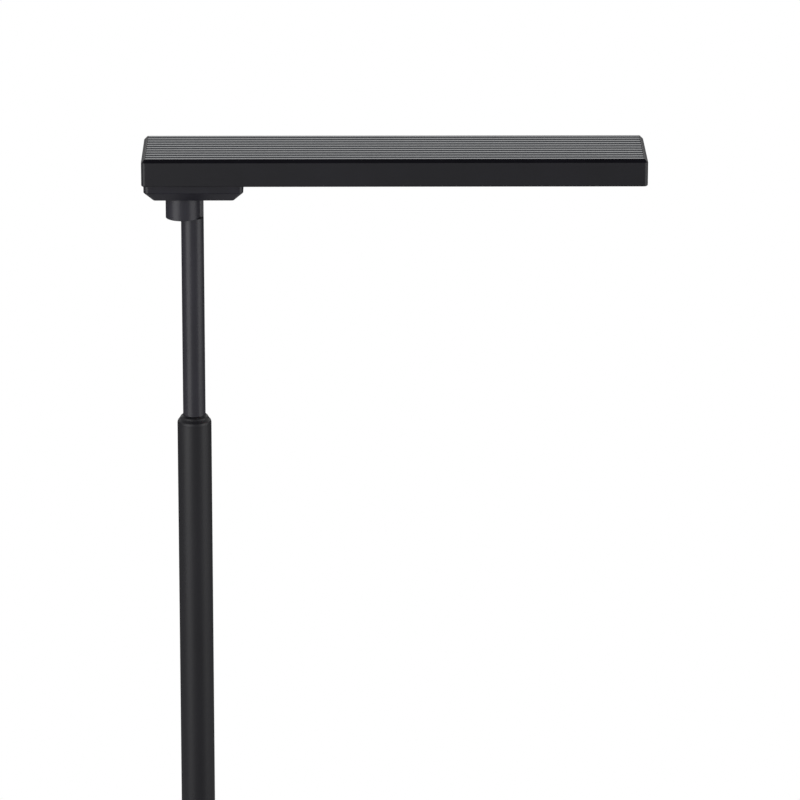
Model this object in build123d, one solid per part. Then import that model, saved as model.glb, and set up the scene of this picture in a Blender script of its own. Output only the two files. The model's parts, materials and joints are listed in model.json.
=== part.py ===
"""Floor-standing reading lamp for a music stand: a weighted round base, a telescopic pole and a long
flat LED head that swivels on an eccentric hub.

Units are millimetres. +Z is up and the origin is the centre of the base's underside, on the pole's
axis. The head reaches out along +X, and -Y is the front of the lamp.
"""

import os
from math import asin, cos, degrees, radians, sin, sqrt

from build123d import *

# ---------------------------------------------------------------- driving dimensions: head
HEAD_LENGTH = 364.0
HEAD_DEPTH = 74.0
HEAD_HEIGHT = 20.0
HEAD_NEAR_END = 35.5  # from the pole's axis back to the head's near end
HEAD_TOP_CHAMFER = 2.4  # bevelled edge round the top
HEAD_TOP_CORNER = 0.8  # radius of the corners inside that bevel
HEAD_BOTTOM_CHAMFER = 0.6
HEAD_WALL = 2.0
LEDGE_WIDTH = 6.0  # inner ledge that carries the heat sink
LEDGE_THICKNESS = 2.0
HEAD_RIM_FLAT = 0.3  # flat left between the bevel and the heat sink's recess
CAVITY_CORNER = 0.5
RECESS_CORNER = 1.2

SINK_BASE = 2.0
RIB_COUNT = 11
RIB_HEIGHT = 1.6
RIB_CREST = 2.8  # width of a rib at its top
RIB_ROOT = 3.6  # width of a rib at its foot
SINK_CLEARANCE = 0.1

PANEL_THICKNESS = 2.0  # bottom panel
PANEL_CLEARANCE = 0.1
WINDOW_SIDE_MARGIN = 14.0  # from the window to the head's sides
WINDOW_END_MARGIN = 17.5  # from the window to the head's far end
WINDOW_BUTTON_MARGIN = 10.5  # from the window to the button
WINDOW_CORNER = 4.0
DIFFUSER_FLANGE = 4.5
DIFFUSER_FLANGE_THICKNESS = 1.2
DIFFUSER_CLEARANCE = 0.2

REFLECTOR_WALL = 4.5
REFLECTOR_SLOPE = 3.0  # how far each reflector wall leans in over its height
LED_BOARD_SETBACK = 2.5  # from the reflector's outside to the board's edges
BOARD_THICKNESS = 1.6
LED_SIZE = (3.5, 2.8, 0.8)
LED_PITCH = (9.8, 12.0)
LED_EDGE_GAP = 5.0  # least room between the outer rows and the reflector's walls

DRIVER_BOARD_START = 10.5  # from the head's near end to the board
DRIVER_BOARD_END_GAP = 4.5  # from the board to the reflector
DRIVER_BOARD_SIDE_GAP = 11.0  # from the board to the head's inner walls
STANDOFF_RADIUS = 2.5
STANDOFF_INSET = 4.5
COMPONENT_HEADROOM = 2.8  # from the tallest components up to the heat sink
CHOKE_SIDE = 10.0
CHOKE_CORNER = 2.0
CHOKE_START = 13.5  # from the board's near end
CHOKE_OFFSET = 8.0  # behind the board's middle
CAPACITOR_RADIUS = 3.2
CAPACITOR_START = 29.3
CAPACITOR_OFFSET = -10.0
CHIP_SIZE = (6.0, 5.0, 1.6)
CHIP_START = 39.5
CHIP_OFFSET = 4.0
CONNECTOR_SIZE = (8.0, 6.0)
CONNECTOR_END_GAP = 4.5
CONNECTOR_OFFSET = -10.0

BUTTON_RADIUS = 4.5
BUTTON_GAP = 4.0  # from the foot plate's end to the button
BUTTON_PROUD = 1.0
BUTTON_CHAMFER = 0.4
BUTTON_FLANGE = 1.1
BUTTON_FLANGE_THICKNESS = 1.0
BUTTON_CLEARANCE = 0.1
PLUNGER_RADIUS = 1.6
PLUNGER_LENGTH = 3.0
SWITCH_SIDE = 6.0
SWITCH_HEIGHT = 3.5
SWITCH_ROOM = 1.5  # from the button's flange up to the switch
SWITCH_ROOF = 0.5

GROMMET_NECK = 6.0
GROMMET_BORE = 4.0
GROMMET_LIP = 1.5  # how far the flanges stand out beyond the neck
GROMMET_FLANGE_THICKNESS = 0.7

# ---------------------------------------------------------------- driving dimensions: foot plate and hub
FOOT_LENGTH = 72.0
FOOT_DEPTH = 50.0
FOOT_HEIGHT = 15.0
FOOT_BEVEL_HEIGHT = 7.0
FOOT_BEVEL_INSET = 7.0
FOOT_CORNER = 4.0  # upright corners above the bevel
FOOT_FACE_CORNER = 1.5  # corners of the flat face inside the bevel
FOOT_END_INSET = 1.0  # from the head's near end to the foot plate's end
POCKET_NUT_ROOM = 1.7  # round the pivot nut's corners

HUB_RADIUS = 12.5
HUB_HEIGHT = 16.7
HUB_OFFSET = -6.8  # the swivel's axis, beside the pole's
HUB_EDGE_CHAMFER = 0.6
SOCKET_FLAT_ANGLE = 30.0  # degrees: how far the flat on the pole's socket turns to the right of the front
HUB_FLOOR = 6.0
SPIGOT_LENGTH = 20.0
SPIGOT_CHAMFER = 0.8
WIRE_BORE_RADIUS = 3.5
WIRE_PASSAGE_HEIGHT = 3.5  # passage from the pole's bore to the pivot's
SWIVEL_GAP = 0.3

PIVOT_RADIUS = 5.0
PIVOT_BORE_RADIUS = 3.2
PIVOT_BELOW_HEAD = 1.0
PIVOT_CLEARANCE = 0.05
FRICTION_WASHER_MARGIN = 1.0  # from the washer to the stop groove
FRICTION_WASHER_SEAT = 1.0
WASHER_SIDE_CLEARANCE = 0.1
THRUST_WASHER_RADIUS = 9.5
THRUST_WASHER_THICKNESS = 1.0
SPRING_WASHER_RADIUS = 8.5
SPRING_WASHER_THICKNESS = 1.4
SPRING_WASHER_SLIT = 1.5
PIVOT_NUT_FLATS = 17.0
PIVOT_NUT_HEIGHT = 5.0
PIVOT_NUT_HEADROOM = 0.9  # under the grommet

SWIVEL_RANGE = 150.0  # degrees each way
STOP_PIN_RADIUS = 1.2
STOP_PIN_EDGE = 1.3  # from the pin to the hub's outside
STOP_PIN_SUNK = 6.0
STOP_PIN_PROUD = 2.3
STOP_GROOVE_WIDTH = 3.0
STOP_GROOVE_DEPTH = 2.8
STOP_END_CLEARANCE = 1.5  # degrees

# ---------------------------------------------------------------- driving dimensions: pole
OUTER_RADIUS = 12.5
OUTER_WALL = 1.2
LOWER_TUBE_LENGTH = 514.0
UPPER_TUBE_LENGTH = 507.8
COUPLER_BAND = 2.0
COUPLER_LENGTH = 80.0
COUPLER_WALL = 2.5
TUBE_FIT = 0.05

INNER_WALL = 1.0
INNER_EXPOSED = 149.6  # shown above the collar at rest
INNER_INSERTED = 300.0  # inside the outer tube at rest
SLIDE_FIT = 0.05
GUIDE_LENGTH = 25.0
GUIDE_LAND = 6.25  # the two bands that run on the tube
GUIDE_GROOVE = 1.0  # depth between them

COLLAR_HEIGHT = 6.6
COLLAR_RIM_WIDTH = 0.4
COLLAR_CONE_HEIGHT = 5.3
COLLAR_BLEND = 4.0
COLLAR_LIP = 2.6
COLLAR_LIP_GAP = 0.2
COLLAR_INSERT = 25.0
COLLAR_INSERT_WALL = 1.6
SLEEVE_WALL = 1.4
SLEEVE_SLIT = 1.5
RETAINER_HEIGHT = 2.0
RETAINER_GAP = 0.35

# ---------------------------------------------------------------- driving dimensions: base
PAD_THICKNESS = 2.0
PAD_INSET = 3.0
COVER_RADIUS = 130.0
COVER_HEIGHT = 16.0
COVER_WALL = 1.5
COVER_BEVEL = 3.0
WEIGHT_CLEARANCE = 0.2
POLE_SPIGOT_LENGTH = 60.0
POLE_SPIGOT_CHAMFER = 1.0
BASE_RING_RADIUS = 19.0
BASE_RING_HEIGHT = 9.0
BASE_RING_CHAMFER = 2.0
BOLT_RADIUS = 5.0
BOLT_REACH = 30.0  # thread inside the spigot
BOLT_FLATS = 17.0
BOLT_HEAD = 6.4
BOLT_WASHER_RADIUS = 12.0
BOLT_WASHER_THICKNESS = 1.6
BOLT_POCKET_GAP = 1.0  # round the washer
BOLT_HEAD_RECESS = 0.5  # from the bolt's head to the pad
BOLT_CLEARANCE = 0.5

INLET_WIDTH = 11.0
INLET_DEPTH = 13.0
INLET_CROWN = 5.0  # socket body above the nose's axis
INLET_NOSE_RADIUS = 4.4
INLET_BORE_RADIUS = 3.3
INLET_BORE_DEPTH = 11.0
INLET_PIN_RADIUS = 1.0
INLET_PIN_LENGTH = 5.5
INLET_PIN_CHAMFER = 0.3
INLET_CLEARANCE = 0.3

# ---------------------------------------------------------------- driving dimensions: fasteners
SMALL_SCREW_RADIUS = 1.25
SMALL_HEAD_RADIUS = 2.4
SMALL_HEAD_HEIGHT = 1.5
BOSS_RADIUS = 3.0
BOSS_INSET = 3.5  # from the head's inner walls
PANEL_SCREW_GRIP = 6.0
PANEL_SCREW_SINK = 1.3
SINK_SCREW_END_INSET = 90.0  # from the head's ends
FOOT_SCREW_RADIUS = 2.0
FOOT_SCREW_HEAD_RADIUS = 3.5
FOOT_SCREW_HEAD_HEIGHT = 2.4
FOOT_SCREW_GRIP = 7.0
FOOT_SCREW_INSET = (10.0, 11.5)  # from the foot plate's ends and sides
SCREW_HOLE_CLEARANCE = 0.2
SET_SCREW_RADIUS = 2.0
SET_SCREW_LENGTH = 4.0
SET_SCREW_DROP = 10.0  # below the hub
FOOT_SET_SCREW_RISE = 5.0  # above the base's top, under the ring
HEX_KEY_RADIUS = 1.15
HEX_KEY_DEPTH = 1.6

CUT_OVERRUN = 1.0  # how far a bore's cut runs past the face it opens in

# ---------------------------------------------------------------- levels and places worked out from them
BASE_TOP = PAD_THICKNESS + COVER_HEIGHT
WEIGHT_TOP = BASE_TOP - COVER_WALL
LOWER_TUBE_TOP = BASE_TOP + LOWER_TUBE_LENGTH
UPPER_TUBE_FOOT = LOWER_TUBE_TOP + COUPLER_BAND
UPPER_TUBE_TOP = UPPER_TUBE_FOOT + UPPER_TUBE_LENGTH
COLLAR_TOP = UPPER_TUBE_TOP + COLLAR_HEIGHT
INNER_FOOT = COLLAR_TOP - INNER_INSERTED
HUB_FOOT = COLLAR_TOP + INNER_EXPOSED
FOOT_SET_SCREW_LEVEL = BASE_TOP + FOOT_SET_SCREW_RISE
HUB_SET_SCREW_LEVEL = HUB_FOOT - SET_SCREW_DROP
HUB_TOP = HUB_FOOT + HUB_HEIGHT
FOOT_UNDERSIDE = HUB_TOP + SWIVEL_GAP
HEAD_UNDERSIDE = FOOT_UNDERSIDE + FOOT_HEIGHT
HEAD_TOP = HEAD_UNDERSIDE + HEAD_HEIGHT
PANEL_TOP = HEAD_UNDERSIDE + PANEL_THICKNESS
PIVOT_NUT_TOP = HEAD_UNDERSIDE - GROMMET_FLANGE_THICKNESS - PIVOT_NUT_HEADROOM
PIVOT_NUT_SEAT = PIVOT_NUT_TOP - PIVOT_NUT_HEIGHT
SPRING_WASHER_SEAT = PIVOT_NUT_SEAT - SPRING_WASHER_THICKNESS
POCKET_FLOOR = SPRING_WASHER_SEAT - THRUST_WASHER_THICKNESS
SINK_UNDERSIDE = HEAD_TOP - RIB_HEIGHT - SINK_BASE
LEDGE_UNDERSIDE = SINK_UNDERSIDE - LEDGE_THICKNESS
DRIVER_BOARD_UNDERSIDE = PANEL_TOP + BUTTON_FLANGE_THICKNESS + SWITCH_ROOM + SWITCH_HEIGHT
DRIVER_BOARD_TOP = DRIVER_BOARD_UNDERSIDE + BOARD_THICKNESS
COMPONENT_TOP = SINK_UNDERSIDE - COMPONENT_HEADROOM

COVER_BORE = COVER_RADIUS - COVER_WALL
COVER_INNER_BEVEL = COVER_BEVEL - COVER_WALL * (2 - sqrt(2))  # keeps the wall's thickness round the bevel
INLET_LEVEL = (PAD_THICKNESS + WEIGHT_TOP) / 2
INLET_FACE = COVER_RADIUS  # the socket's mouth is level with the cover's rear
INLET_SHOULDER = sqrt(COVER_BORE**2 - (INLET_WIDTH / 2) ** 2)  # the socket's body meets the cover here
BOLT_POCKET_RADIUS = BOLT_WASHER_RADIUS + BOLT_POCKET_GAP
BOLT_SEAT = PAD_THICKNESS + BOLT_HEAD_RECESS + BOLT_HEAD
BOLT_POCKET_TOP = BOLT_SEAT + BOLT_WASHER_THICKNESS
OUTER_BORE = OUTER_RADIUS - OUTER_WALL
SLEEVE_OUTSIDE = OUTER_BORE - COLLAR_INSERT_WALL
SLEEVE_BORE = SLEEVE_OUTSIDE - SLEEVE_WALL
INNER_RADIUS = SLEEVE_BORE - SLIDE_FIT
INNER_BORE = INNER_RADIUS - INNER_WALL
STOP_PIN_ORBIT = HUB_RADIUS - STOP_PIN_RADIUS - STOP_PIN_EDGE
FRICTION_WASHER_RADIUS = STOP_PIN_ORBIT - STOP_GROOVE_WIDTH / 2 - FRICTION_WASHER_MARGIN
POCKET_RADIUS = PIVOT_NUT_FLATS / sqrt(3) + POCKET_NUT_ROOM
GROMMET_FLANGE = GROMMET_NECK + GROMMET_LIP

HEAD_CORNER = HEAD_TOP_CHAMFER + HEAD_TOP_CORNER
HEAD_RIM = HEAD_TOP_CHAMFER + HEAD_RIM_FLAT
HEAD_START = -HEAD_NEAR_END
HEAD_END = HEAD_START + HEAD_LENGTH
HEAD_CENTRE = (HEAD_START + HEAD_END) / 2
CAVITY_LENGTH = HEAD_LENGTH - 2 * HEAD_WALL
CAVITY_DEPTH = HEAD_DEPTH - 2 * HEAD_WALL
RECESS_LENGTH = HEAD_LENGTH - 2 * HEAD_RIM
RECESS_DEPTH = HEAD_DEPTH - 2 * HEAD_RIM
FOOT_CENTRE = HEAD_START + FOOT_END_INSET + FOOT_LENGTH / 2
BUTTON_CENTRE = FOOT_CENTRE + FOOT_LENGTH / 2 + BUTTON_GAP + BUTTON_RADIUS
WINDOW_START = BUTTON_CENTRE + BUTTON_RADIUS + WINDOW_BUTTON_MARGIN
WINDOW_END = HEAD_END - WINDOW_END_MARGIN
WINDOW_LENGTH = WINDOW_END - WINDOW_START
WINDOW_DEPTH = HEAD_DEPTH - 2 * WINDOW_SIDE_MARGIN
WINDOW_CENTRE = (WINDOW_START + WINDOW_END) / 2
REFLECTOR_LENGTH = WINDOW_LENGTH + 2 * REFLECTOR_WALL
REFLECTOR_DEPTH = WINDOW_DEPTH + 2 * REFLECTOR_WALL
DRIVER_BOARD_NEAR = HEAD_START + DRIVER_BOARD_START
DRIVER_BOARD_FAR = WINDOW_START - REFLECTOR_WALL - DRIVER_BOARD_END_GAP
DRIVER_BOARD_LENGTH = DRIVER_BOARD_FAR - DRIVER_BOARD_NEAR
DRIVER_BOARD_DEPTH = CAVITY_DEPTH - 2 * DRIVER_BOARD_SIDE_GAP
DRIVER_BOARD_CENTRE = (DRIVER_BOARD_NEAR + DRIVER_BOARD_FAR) / 2
SCREW_LINE = CAVITY_DEPTH / 2 - BOSS_INSET
PANEL_SCREW_SPOTS = [
    (x, side * SCREW_LINE)
    for x in (
        HEAD_START + HEAD_WALL + BOSS_INSET,
        HEAD_END - HEAD_WALL - BOSS_INSET,
    )
    for side in (-1, 1)
]
SINK_SCREW_SPOTS = [
    (x, side * SCREW_LINE)
    for x in (HEAD_START + SINK_SCREW_END_INSET, HEAD_END - SINK_SCREW_END_INSET)
    for side in (-1, 1)
]
FOOT_SCREW_SPOTS = [
    (
        FOOT_CENTRE + end * (FOOT_LENGTH / 2 - FOOT_SCREW_INSET[0]),
        side * (FOOT_DEPTH / 2 - FOOT_SCREW_INSET[1]),
    )
    for end in (-1, 1)
    for side in (-1, 1)
]
STANDOFF_SPOTS = [
    (x, side * (DRIVER_BOARD_DEPTH / 2 - STANDOFF_INSET))
    for x in (DRIVER_BOARD_NEAR + STANDOFF_INSET, DRIVER_BOARD_FAR - STANDOFF_INSET)
    for side in (-1, 1)
]


# ---------------------------------------------------------------- helpers
def disc(radius, low, high, x=0.0, y=0.0):
    """An upright cylinder between two levels."""
    return Pos(x, y, low) * extrude(Circle(radius), high - low)


def ring(outside, bore, low, high, x=0.0, y=0.0):
    """An upright ring between two levels."""
    return Pos(x, y, low) * extrude(Circle(outside) - Circle(bore), high - low)


def slab(length, depth, corner, low, high, x=0.0, y=0.0):
    """A flat plate with rounded corners between two levels."""
    return Pos(x, y, low) * extrude(RectangleRounded(length, depth, corner), high - low)


def block(size_x, size_y, low, high, x=0.0, y=0.0):
    """A square-edged block between two levels."""
    return Pos(x, y, low) * extrude(Rectangle(size_x, size_y), high - low)


def hexagon(flats, low, high, x=0.0, y=0.0):
    """A hexagonal prism, given its width across flats."""
    return Pos(x, y, low) * extrude(RegularPolygon(flats / sqrt(3), 6), high - low)


def level_edges(solid, level):
    """The edges of a solid that lie flat at one level."""
    return solid.edges().filter_by_position(Axis.Z, level - 0.01, level + 0.01)


def cross_pin(radius, start, end, level, x=0.0):
    """A round pin along Y from start to end."""
    turned = Rot(-90, 0, 0) * extrude(Circle(radius), end - start)
    return Pos(x, start, level) * turned


def pan_screw(shank, head, head_height, seat, tip, x, y):
    """A screw whose head rests on seat, above it if the tip is below and under it if above."""
    if tip < seat:
        return disc(shank, tip, seat, x, y) + disc(head, seat, seat + head_height, x, y)
    return disc(shank, seat, tip, x, y) + disc(head, seat - head_height, seat, x, y)


# ---------------------------------------------------------------- base
def make_base_cover():
    """Pressed steel cover: a shallow round pan, upside down, with a bevelled edge."""
    body = disc(COVER_RADIUS, PAD_THICKNESS, BASE_TOP)
    body = chamfer(level_edges(body, BASE_TOP), COVER_BEVEL)
    hollow = disc(COVER_BORE, PAD_THICKNESS, WEIGHT_TOP)
    hollow = chamfer(level_edges(hollow, WEIGHT_TOP), COVER_INNER_BEVEL)
    body -= hollow
    body -= disc(BOLT_RADIUS + BOLT_CLEARANCE, WEIGHT_TOP, BASE_TOP)
    hole = INLET_NOSE_RADIUS + INLET_CLEARANCE
    return body - cross_pin(hole, INLET_SHOULDER - CUT_OVERRUN, INLET_FACE + CUT_OVERRUN, INLET_LEVEL)


def make_base_weight():
    """Cast iron disc that fills the cover, with a bolt pocket and a bay for the inlet socket."""
    body = disc(COVER_BORE - WEIGHT_CLEARANCE, PAD_THICKNESS, WEIGHT_TOP)
    body = chamfer(level_edges(body, WEIGHT_TOP), COVER_INNER_BEVEL)
    body -= disc(BOLT_POCKET_RADIUS, PAD_THICKNESS, BOLT_POCKET_TOP)
    body -= disc(BOLT_RADIUS + BOLT_CLEARANCE, PAD_THICKNESS, WEIGHT_TOP)
    bay_width = INLET_WIDTH + 2 * INLET_CLEARANCE
    bay_depth = COVER_RADIUS - INLET_SHOULDER + INLET_DEPTH + INLET_CLEARANCE
    bay = block(bay_width, bay_depth, PAD_THICKNESS, WEIGHT_TOP, 0, COVER_RADIUS - bay_depth / 2)
    return body - bay


def make_base_pad():
    """Rubber sheet glued under the base."""
    return disc(COVER_RADIUS - PAD_INSET, 0, PAD_THICKNESS)


def make_base_bolt():
    """Hexagon bolt that pulls the pole down onto the base from below."""
    body = hexagon(BOLT_FLATS, BOLT_SEAT - BOLT_HEAD, BOLT_SEAT)
    return body + disc(BOLT_RADIUS, BOLT_SEAT, BASE_TOP + BOLT_REACH)


def make_base_washer():
    return ring(BOLT_WASHER_RADIUS, BOLT_RADIUS, BOLT_SEAT, BOLT_POCKET_TOP)


def set_screw_face(outside):
    """Where a grub screw's flat end is flush with a tube of this outside radius."""
    return sqrt(outside**2 - SET_SCREW_RADIUS**2)


def set_screw_bore(outside, level):
    """The bore that a grub screw fills, run out through the tube's wall."""
    floor = set_screw_face(outside) - SET_SCREW_LENGTH
    return cross_pin(SET_SCREW_RADIUS, floor, outside + CUT_OVERRUN, level)


def set_screw(outside, level):
    """Grub screw flush with a tube's rear, with a hexagon key hole."""
    face = set_screw_face(outside)
    body = cross_pin(SET_SCREW_RADIUS, face - SET_SCREW_LENGTH, face, level)
    key = Rot(-90, 0, 0) * extrude(RegularPolygon(HEX_KEY_RADIUS, 6), HEX_KEY_DEPTH)
    return body - Pos(0, face - HEX_KEY_DEPTH, level) * key


def make_pole_spigot():
    """Steel plug in the pole's foot, tapped for the base bolt."""
    body = disc(OUTER_BORE - TUBE_FIT, BASE_TOP, BASE_TOP + POLE_SPIGOT_LENGTH)
    body = chamfer(level_edges(body, BASE_TOP + POLE_SPIGOT_LENGTH), POLE_SPIGOT_CHAMFER)
    body -= disc(BOLT_RADIUS, BASE_TOP, BASE_TOP + BOLT_REACH)
    return body - set_screw_bore(OUTER_RADIUS, FOOT_SET_SCREW_LEVEL)


def make_pole_set_screw():
    return set_screw(OUTER_RADIUS, FOOT_SET_SCREW_LEVEL)


def make_base_ring():
    """Ring that hides the pole's foot."""
    top = BASE_TOP + BASE_RING_HEIGHT
    body = ring(BASE_RING_RADIUS, OUTER_RADIUS + TUBE_FIT, BASE_TOP, top)
    outer_edge = level_edges(body, top).sort_by(SortBy.RADIUS)[-1]
    return chamfer(outer_edge, BASE_RING_CHAMFER)


def make_dc_inlet():
    """Low-voltage socket: a square body on the pad, behind a round nose that shows in the cover's rear."""
    top = INLET_LEVEL + INLET_CROWN
    body = block(INLET_WIDTH, INLET_DEPTH, PAD_THICKNESS, top, 0, INLET_SHOULDER - INLET_DEPTH / 2)
    body += cross_pin(INLET_NOSE_RADIUS, INLET_SHOULDER, INLET_FACE, INLET_LEVEL)
    return body - cross_pin(INLET_BORE_RADIUS, INLET_FACE - INLET_BORE_DEPTH, INLET_FACE, INLET_LEVEL)


def make_inlet_pin():
    floor = INLET_FACE - INLET_BORE_DEPTH
    body = cross_pin(INLET_PIN_RADIUS, floor, floor + INLET_PIN_LENGTH, INLET_LEVEL)
    tip = body.edges().filter_by(GeomType.CIRCLE).sort_by(Axis.Y)[-1]
    return chamfer(tip, INLET_PIN_CHAMFER)


# ---------------------------------------------------------------- outer pole
def make_outer_tube_lower():
    body = ring(OUTER_RADIUS, OUTER_BORE, BASE_TOP, LOWER_TUBE_TOP)
    return body - set_screw_bore(OUTER_RADIUS, FOOT_SET_SCREW_LEVEL)


def make_outer_tube_upper():
    return ring(OUTER_RADIUS, OUTER_BORE, UPPER_TUBE_FOOT, UPPER_TUBE_TOP)


def make_tube_coupler():
    """Sleeve inside the two outer tubes, with a band between their ends."""
    outside = OUTER_BORE - TUBE_FIT
    middle = LOWER_TUBE_TOP + COUPLER_BAND / 2
    body = ring(outside, outside - COUPLER_WALL, middle - COUPLER_LENGTH / 2, middle + COUPLER_LENGTH / 2)
    return body + ring(OUTER_RADIUS, outside - COUPLER_WALL, LOWER_TUBE_TOP, UPPER_TUBE_FOOT)


def make_telescope_collar():
    """End cap of the outer pole: a conical shoulder with a blended edge, on an insert in the tube."""
    lip_bore = INNER_RADIUS + COLLAR_LIP_GAP
    insert_foot = UPPER_TUBE_TOP - COLLAR_INSERT
    lip_foot = COLLAR_TOP - COLLAR_LIP
    outline = Polyline(
        (lip_bore, COLLAR_TOP),
        (lip_bore + COLLAR_RIM_WIDTH, COLLAR_TOP),
        (OUTER_RADIUS, COLLAR_TOP - COLLAR_CONE_HEIGHT),
        (OUTER_RADIUS, UPPER_TUBE_TOP),
        (OUTER_BORE, UPPER_TUBE_TOP),
        (OUTER_BORE, insert_foot),
        (SLEEVE_OUTSIDE, insert_foot),
        (SLEEVE_OUTSIDE, lip_foot),
        (lip_bore, lip_foot),
        close=True,
    )
    section = make_face(outline)
    shoulder = [
        v
        for v in section.vertices()
        if abs(v.X - OUTER_RADIUS) < 0.01 and abs(v.Y - COLLAR_TOP + COLLAR_CONE_HEIGHT) < 0.01
    ]
    section = fillet(shoulder, COLLAR_BLEND)
    return revolve(Rot(90, 0, 0) * section, Axis.Z)


def make_friction_sleeve():
    """Split nylon sleeve that grips the inner tube."""
    low = UPPER_TUBE_TOP - COLLAR_INSERT + RETAINER_HEIGHT
    high = COLLAR_TOP - COLLAR_LIP
    body = ring(SLEEVE_OUTSIDE, SLEEVE_BORE, low, high)
    return body - block(SLEEVE_SLIT, SLEEVE_OUTSIDE, low, high, 0, SLEEVE_OUTSIDE)


def make_sleeve_retainer():
    low = UPPER_TUBE_TOP - COLLAR_INSERT
    return ring(SLEEVE_OUTSIDE, INNER_RADIUS + RETAINER_GAP, low, low + RETAINER_HEIGHT)


# ---------------------------------------------------------------- inner pole and hub
def make_inner_tube():
    body = ring(INNER_RADIUS, INNER_BORE, INNER_FOOT, HUB_FOOT)
    return body - set_screw_bore(INNER_RADIUS, HUB_SET_SCREW_LEVEL)


def make_inner_guide():
    """Nylon bush on the inner tube's foot that runs inside the outer tube."""
    outside = OUTER_BORE - SLIDE_FIT
    body = ring(outside, INNER_RADIUS, INNER_FOOT, INNER_FOOT + GUIDE_LENGTH)
    groove_foot = INNER_FOOT + GUIDE_LAND
    groove_top = INNER_FOOT + GUIDE_LENGTH - GUIDE_LAND
    return body - ring(OUTER_BORE, outside - GUIDE_GROOVE, groove_foot, groove_top)


def make_swivel_hub():
    """Die-cast hub: the swivel's barrel and the pole's socket side by side, on a spigot.

    A slanting flat trims the front of the socket where it stands out beside the barrel.
    """
    barrel = disc(HUB_RADIUS, HUB_FOOT, HUB_TOP, HUB_OFFSET)
    body = chamfer(level_edges(barrel, HUB_FOOT), HUB_EDGE_CHAMFER)
    side = 2 * INNER_RADIUS
    trim = Rot(0, 0, SOCKET_FLAT_ANGLE) * block(2 * side, side, HUB_FOOT, HUB_TOP, 0, -side / 2)
    body += disc(INNER_RADIUS, HUB_FOOT, HUB_TOP) - Pos(INNER_RADIUS, 0, 0) * trim
    spigot_foot = HUB_FOOT - SPIGOT_LENGTH
    spigot = disc(INNER_BORE - TUBE_FIT, spigot_foot, HUB_FOOT + HUB_EDGE_CHAMFER)
    body += chamfer(level_edges(spigot, spigot_foot), SPIGOT_CHAMFER)
    floor = HUB_FOOT + HUB_FLOOR
    passage_foot = floor - WIRE_PASSAGE_HEIGHT
    body -= disc(PIVOT_RADIUS, floor, HUB_TOP, HUB_OFFSET)
    body -= disc(WIRE_BORE_RADIUS, spigot_foot, floor)
    body -= disc(PIVOT_BORE_RADIUS, passage_foot, floor, HUB_OFFSET)
    body -= block(-HUB_OFFSET, 2 * PIVOT_BORE_RADIUS, passage_foot, floor, HUB_OFFSET / 2)
    body -= disc(STOP_PIN_RADIUS, HUB_TOP - STOP_PIN_SUNK, HUB_TOP, HUB_OFFSET, STOP_PIN_ORBIT)
    return body - set_screw_bore(INNER_RADIUS, HUB_SET_SCREW_LEVEL)


def make_hub_set_screw():
    return set_screw(INNER_RADIUS, HUB_SET_SCREW_LEVEL)


def make_pivot_tube():
    """Hollow threaded pivot: the head turns on it and the lead passes through it."""
    top = HEAD_UNDERSIDE - PIVOT_BELOW_HEAD
    return ring(PIVOT_RADIUS, PIVOT_BORE_RADIUS, HUB_FOOT + HUB_FLOOR, top, HUB_OFFSET)


def make_stop_pin():
    foot = HUB_TOP - STOP_PIN_SUNK
    return disc(STOP_PIN_RADIUS, foot, HUB_TOP + STOP_PIN_PROUD, HUB_OFFSET, STOP_PIN_ORBIT)


def make_thrust_washer():
    return ring(THRUST_WASHER_RADIUS, PIVOT_RADIUS, POCKET_FLOOR, SPRING_WASHER_SEAT, HUB_OFFSET)


def make_spring_washer():
    low, high = SPRING_WASHER_SEAT, PIVOT_NUT_SEAT
    body = ring(SPRING_WASHER_RADIUS, PIVOT_RADIUS, low, high, HUB_OFFSET)
    slit = block(SPRING_WASHER_SLIT, SPRING_WASHER_RADIUS, low, high, HUB_OFFSET, SPRING_WASHER_RADIUS)
    return body - slit


def make_pivot_nut():
    body = hexagon(PIVOT_NUT_FLATS, PIVOT_NUT_SEAT, PIVOT_NUT_TOP, HUB_OFFSET)
    return body - disc(PIVOT_RADIUS, PIVOT_NUT_SEAT, PIVOT_NUT_TOP, HUB_OFFSET)


# ---------------------------------------------------------------- foot plate
def stop_groove():
    """Arc-shaped groove that lets the foot plate turn past the stop pin as far as the range."""
    half = SWIVEL_RANGE + degrees(asin(STOP_PIN_RADIUS / STOP_PIN_ORBIT)) + STOP_END_CLEARANCE
    outside = STOP_PIN_ORBIT + STOP_GROOVE_WIDTH / 2
    inside = STOP_PIN_ORBIT - STOP_GROOVE_WIDTH / 2
    top = FOOT_UNDERSIDE + STOP_GROOVE_DEPTH
    full = ring(outside, inside, FOOT_UNDERSIDE, top, HUB_OFFSET)
    reach = 2 * outside
    edge = radians(half + 90)
    far = radians(270)
    wedge = Polyline(
        (0, 0),
        (reach * cos(edge), reach * sin(edge)),
        (reach * cos(far), reach * sin(far)),
        (-reach * cos(edge), reach * sin(edge)),
        close=True,
    )
    stop = Pos(HUB_OFFSET, 0, FOOT_UNDERSIDE) * extrude(make_face(wedge), STOP_GROOVE_DEPTH)
    return full - stop


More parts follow.
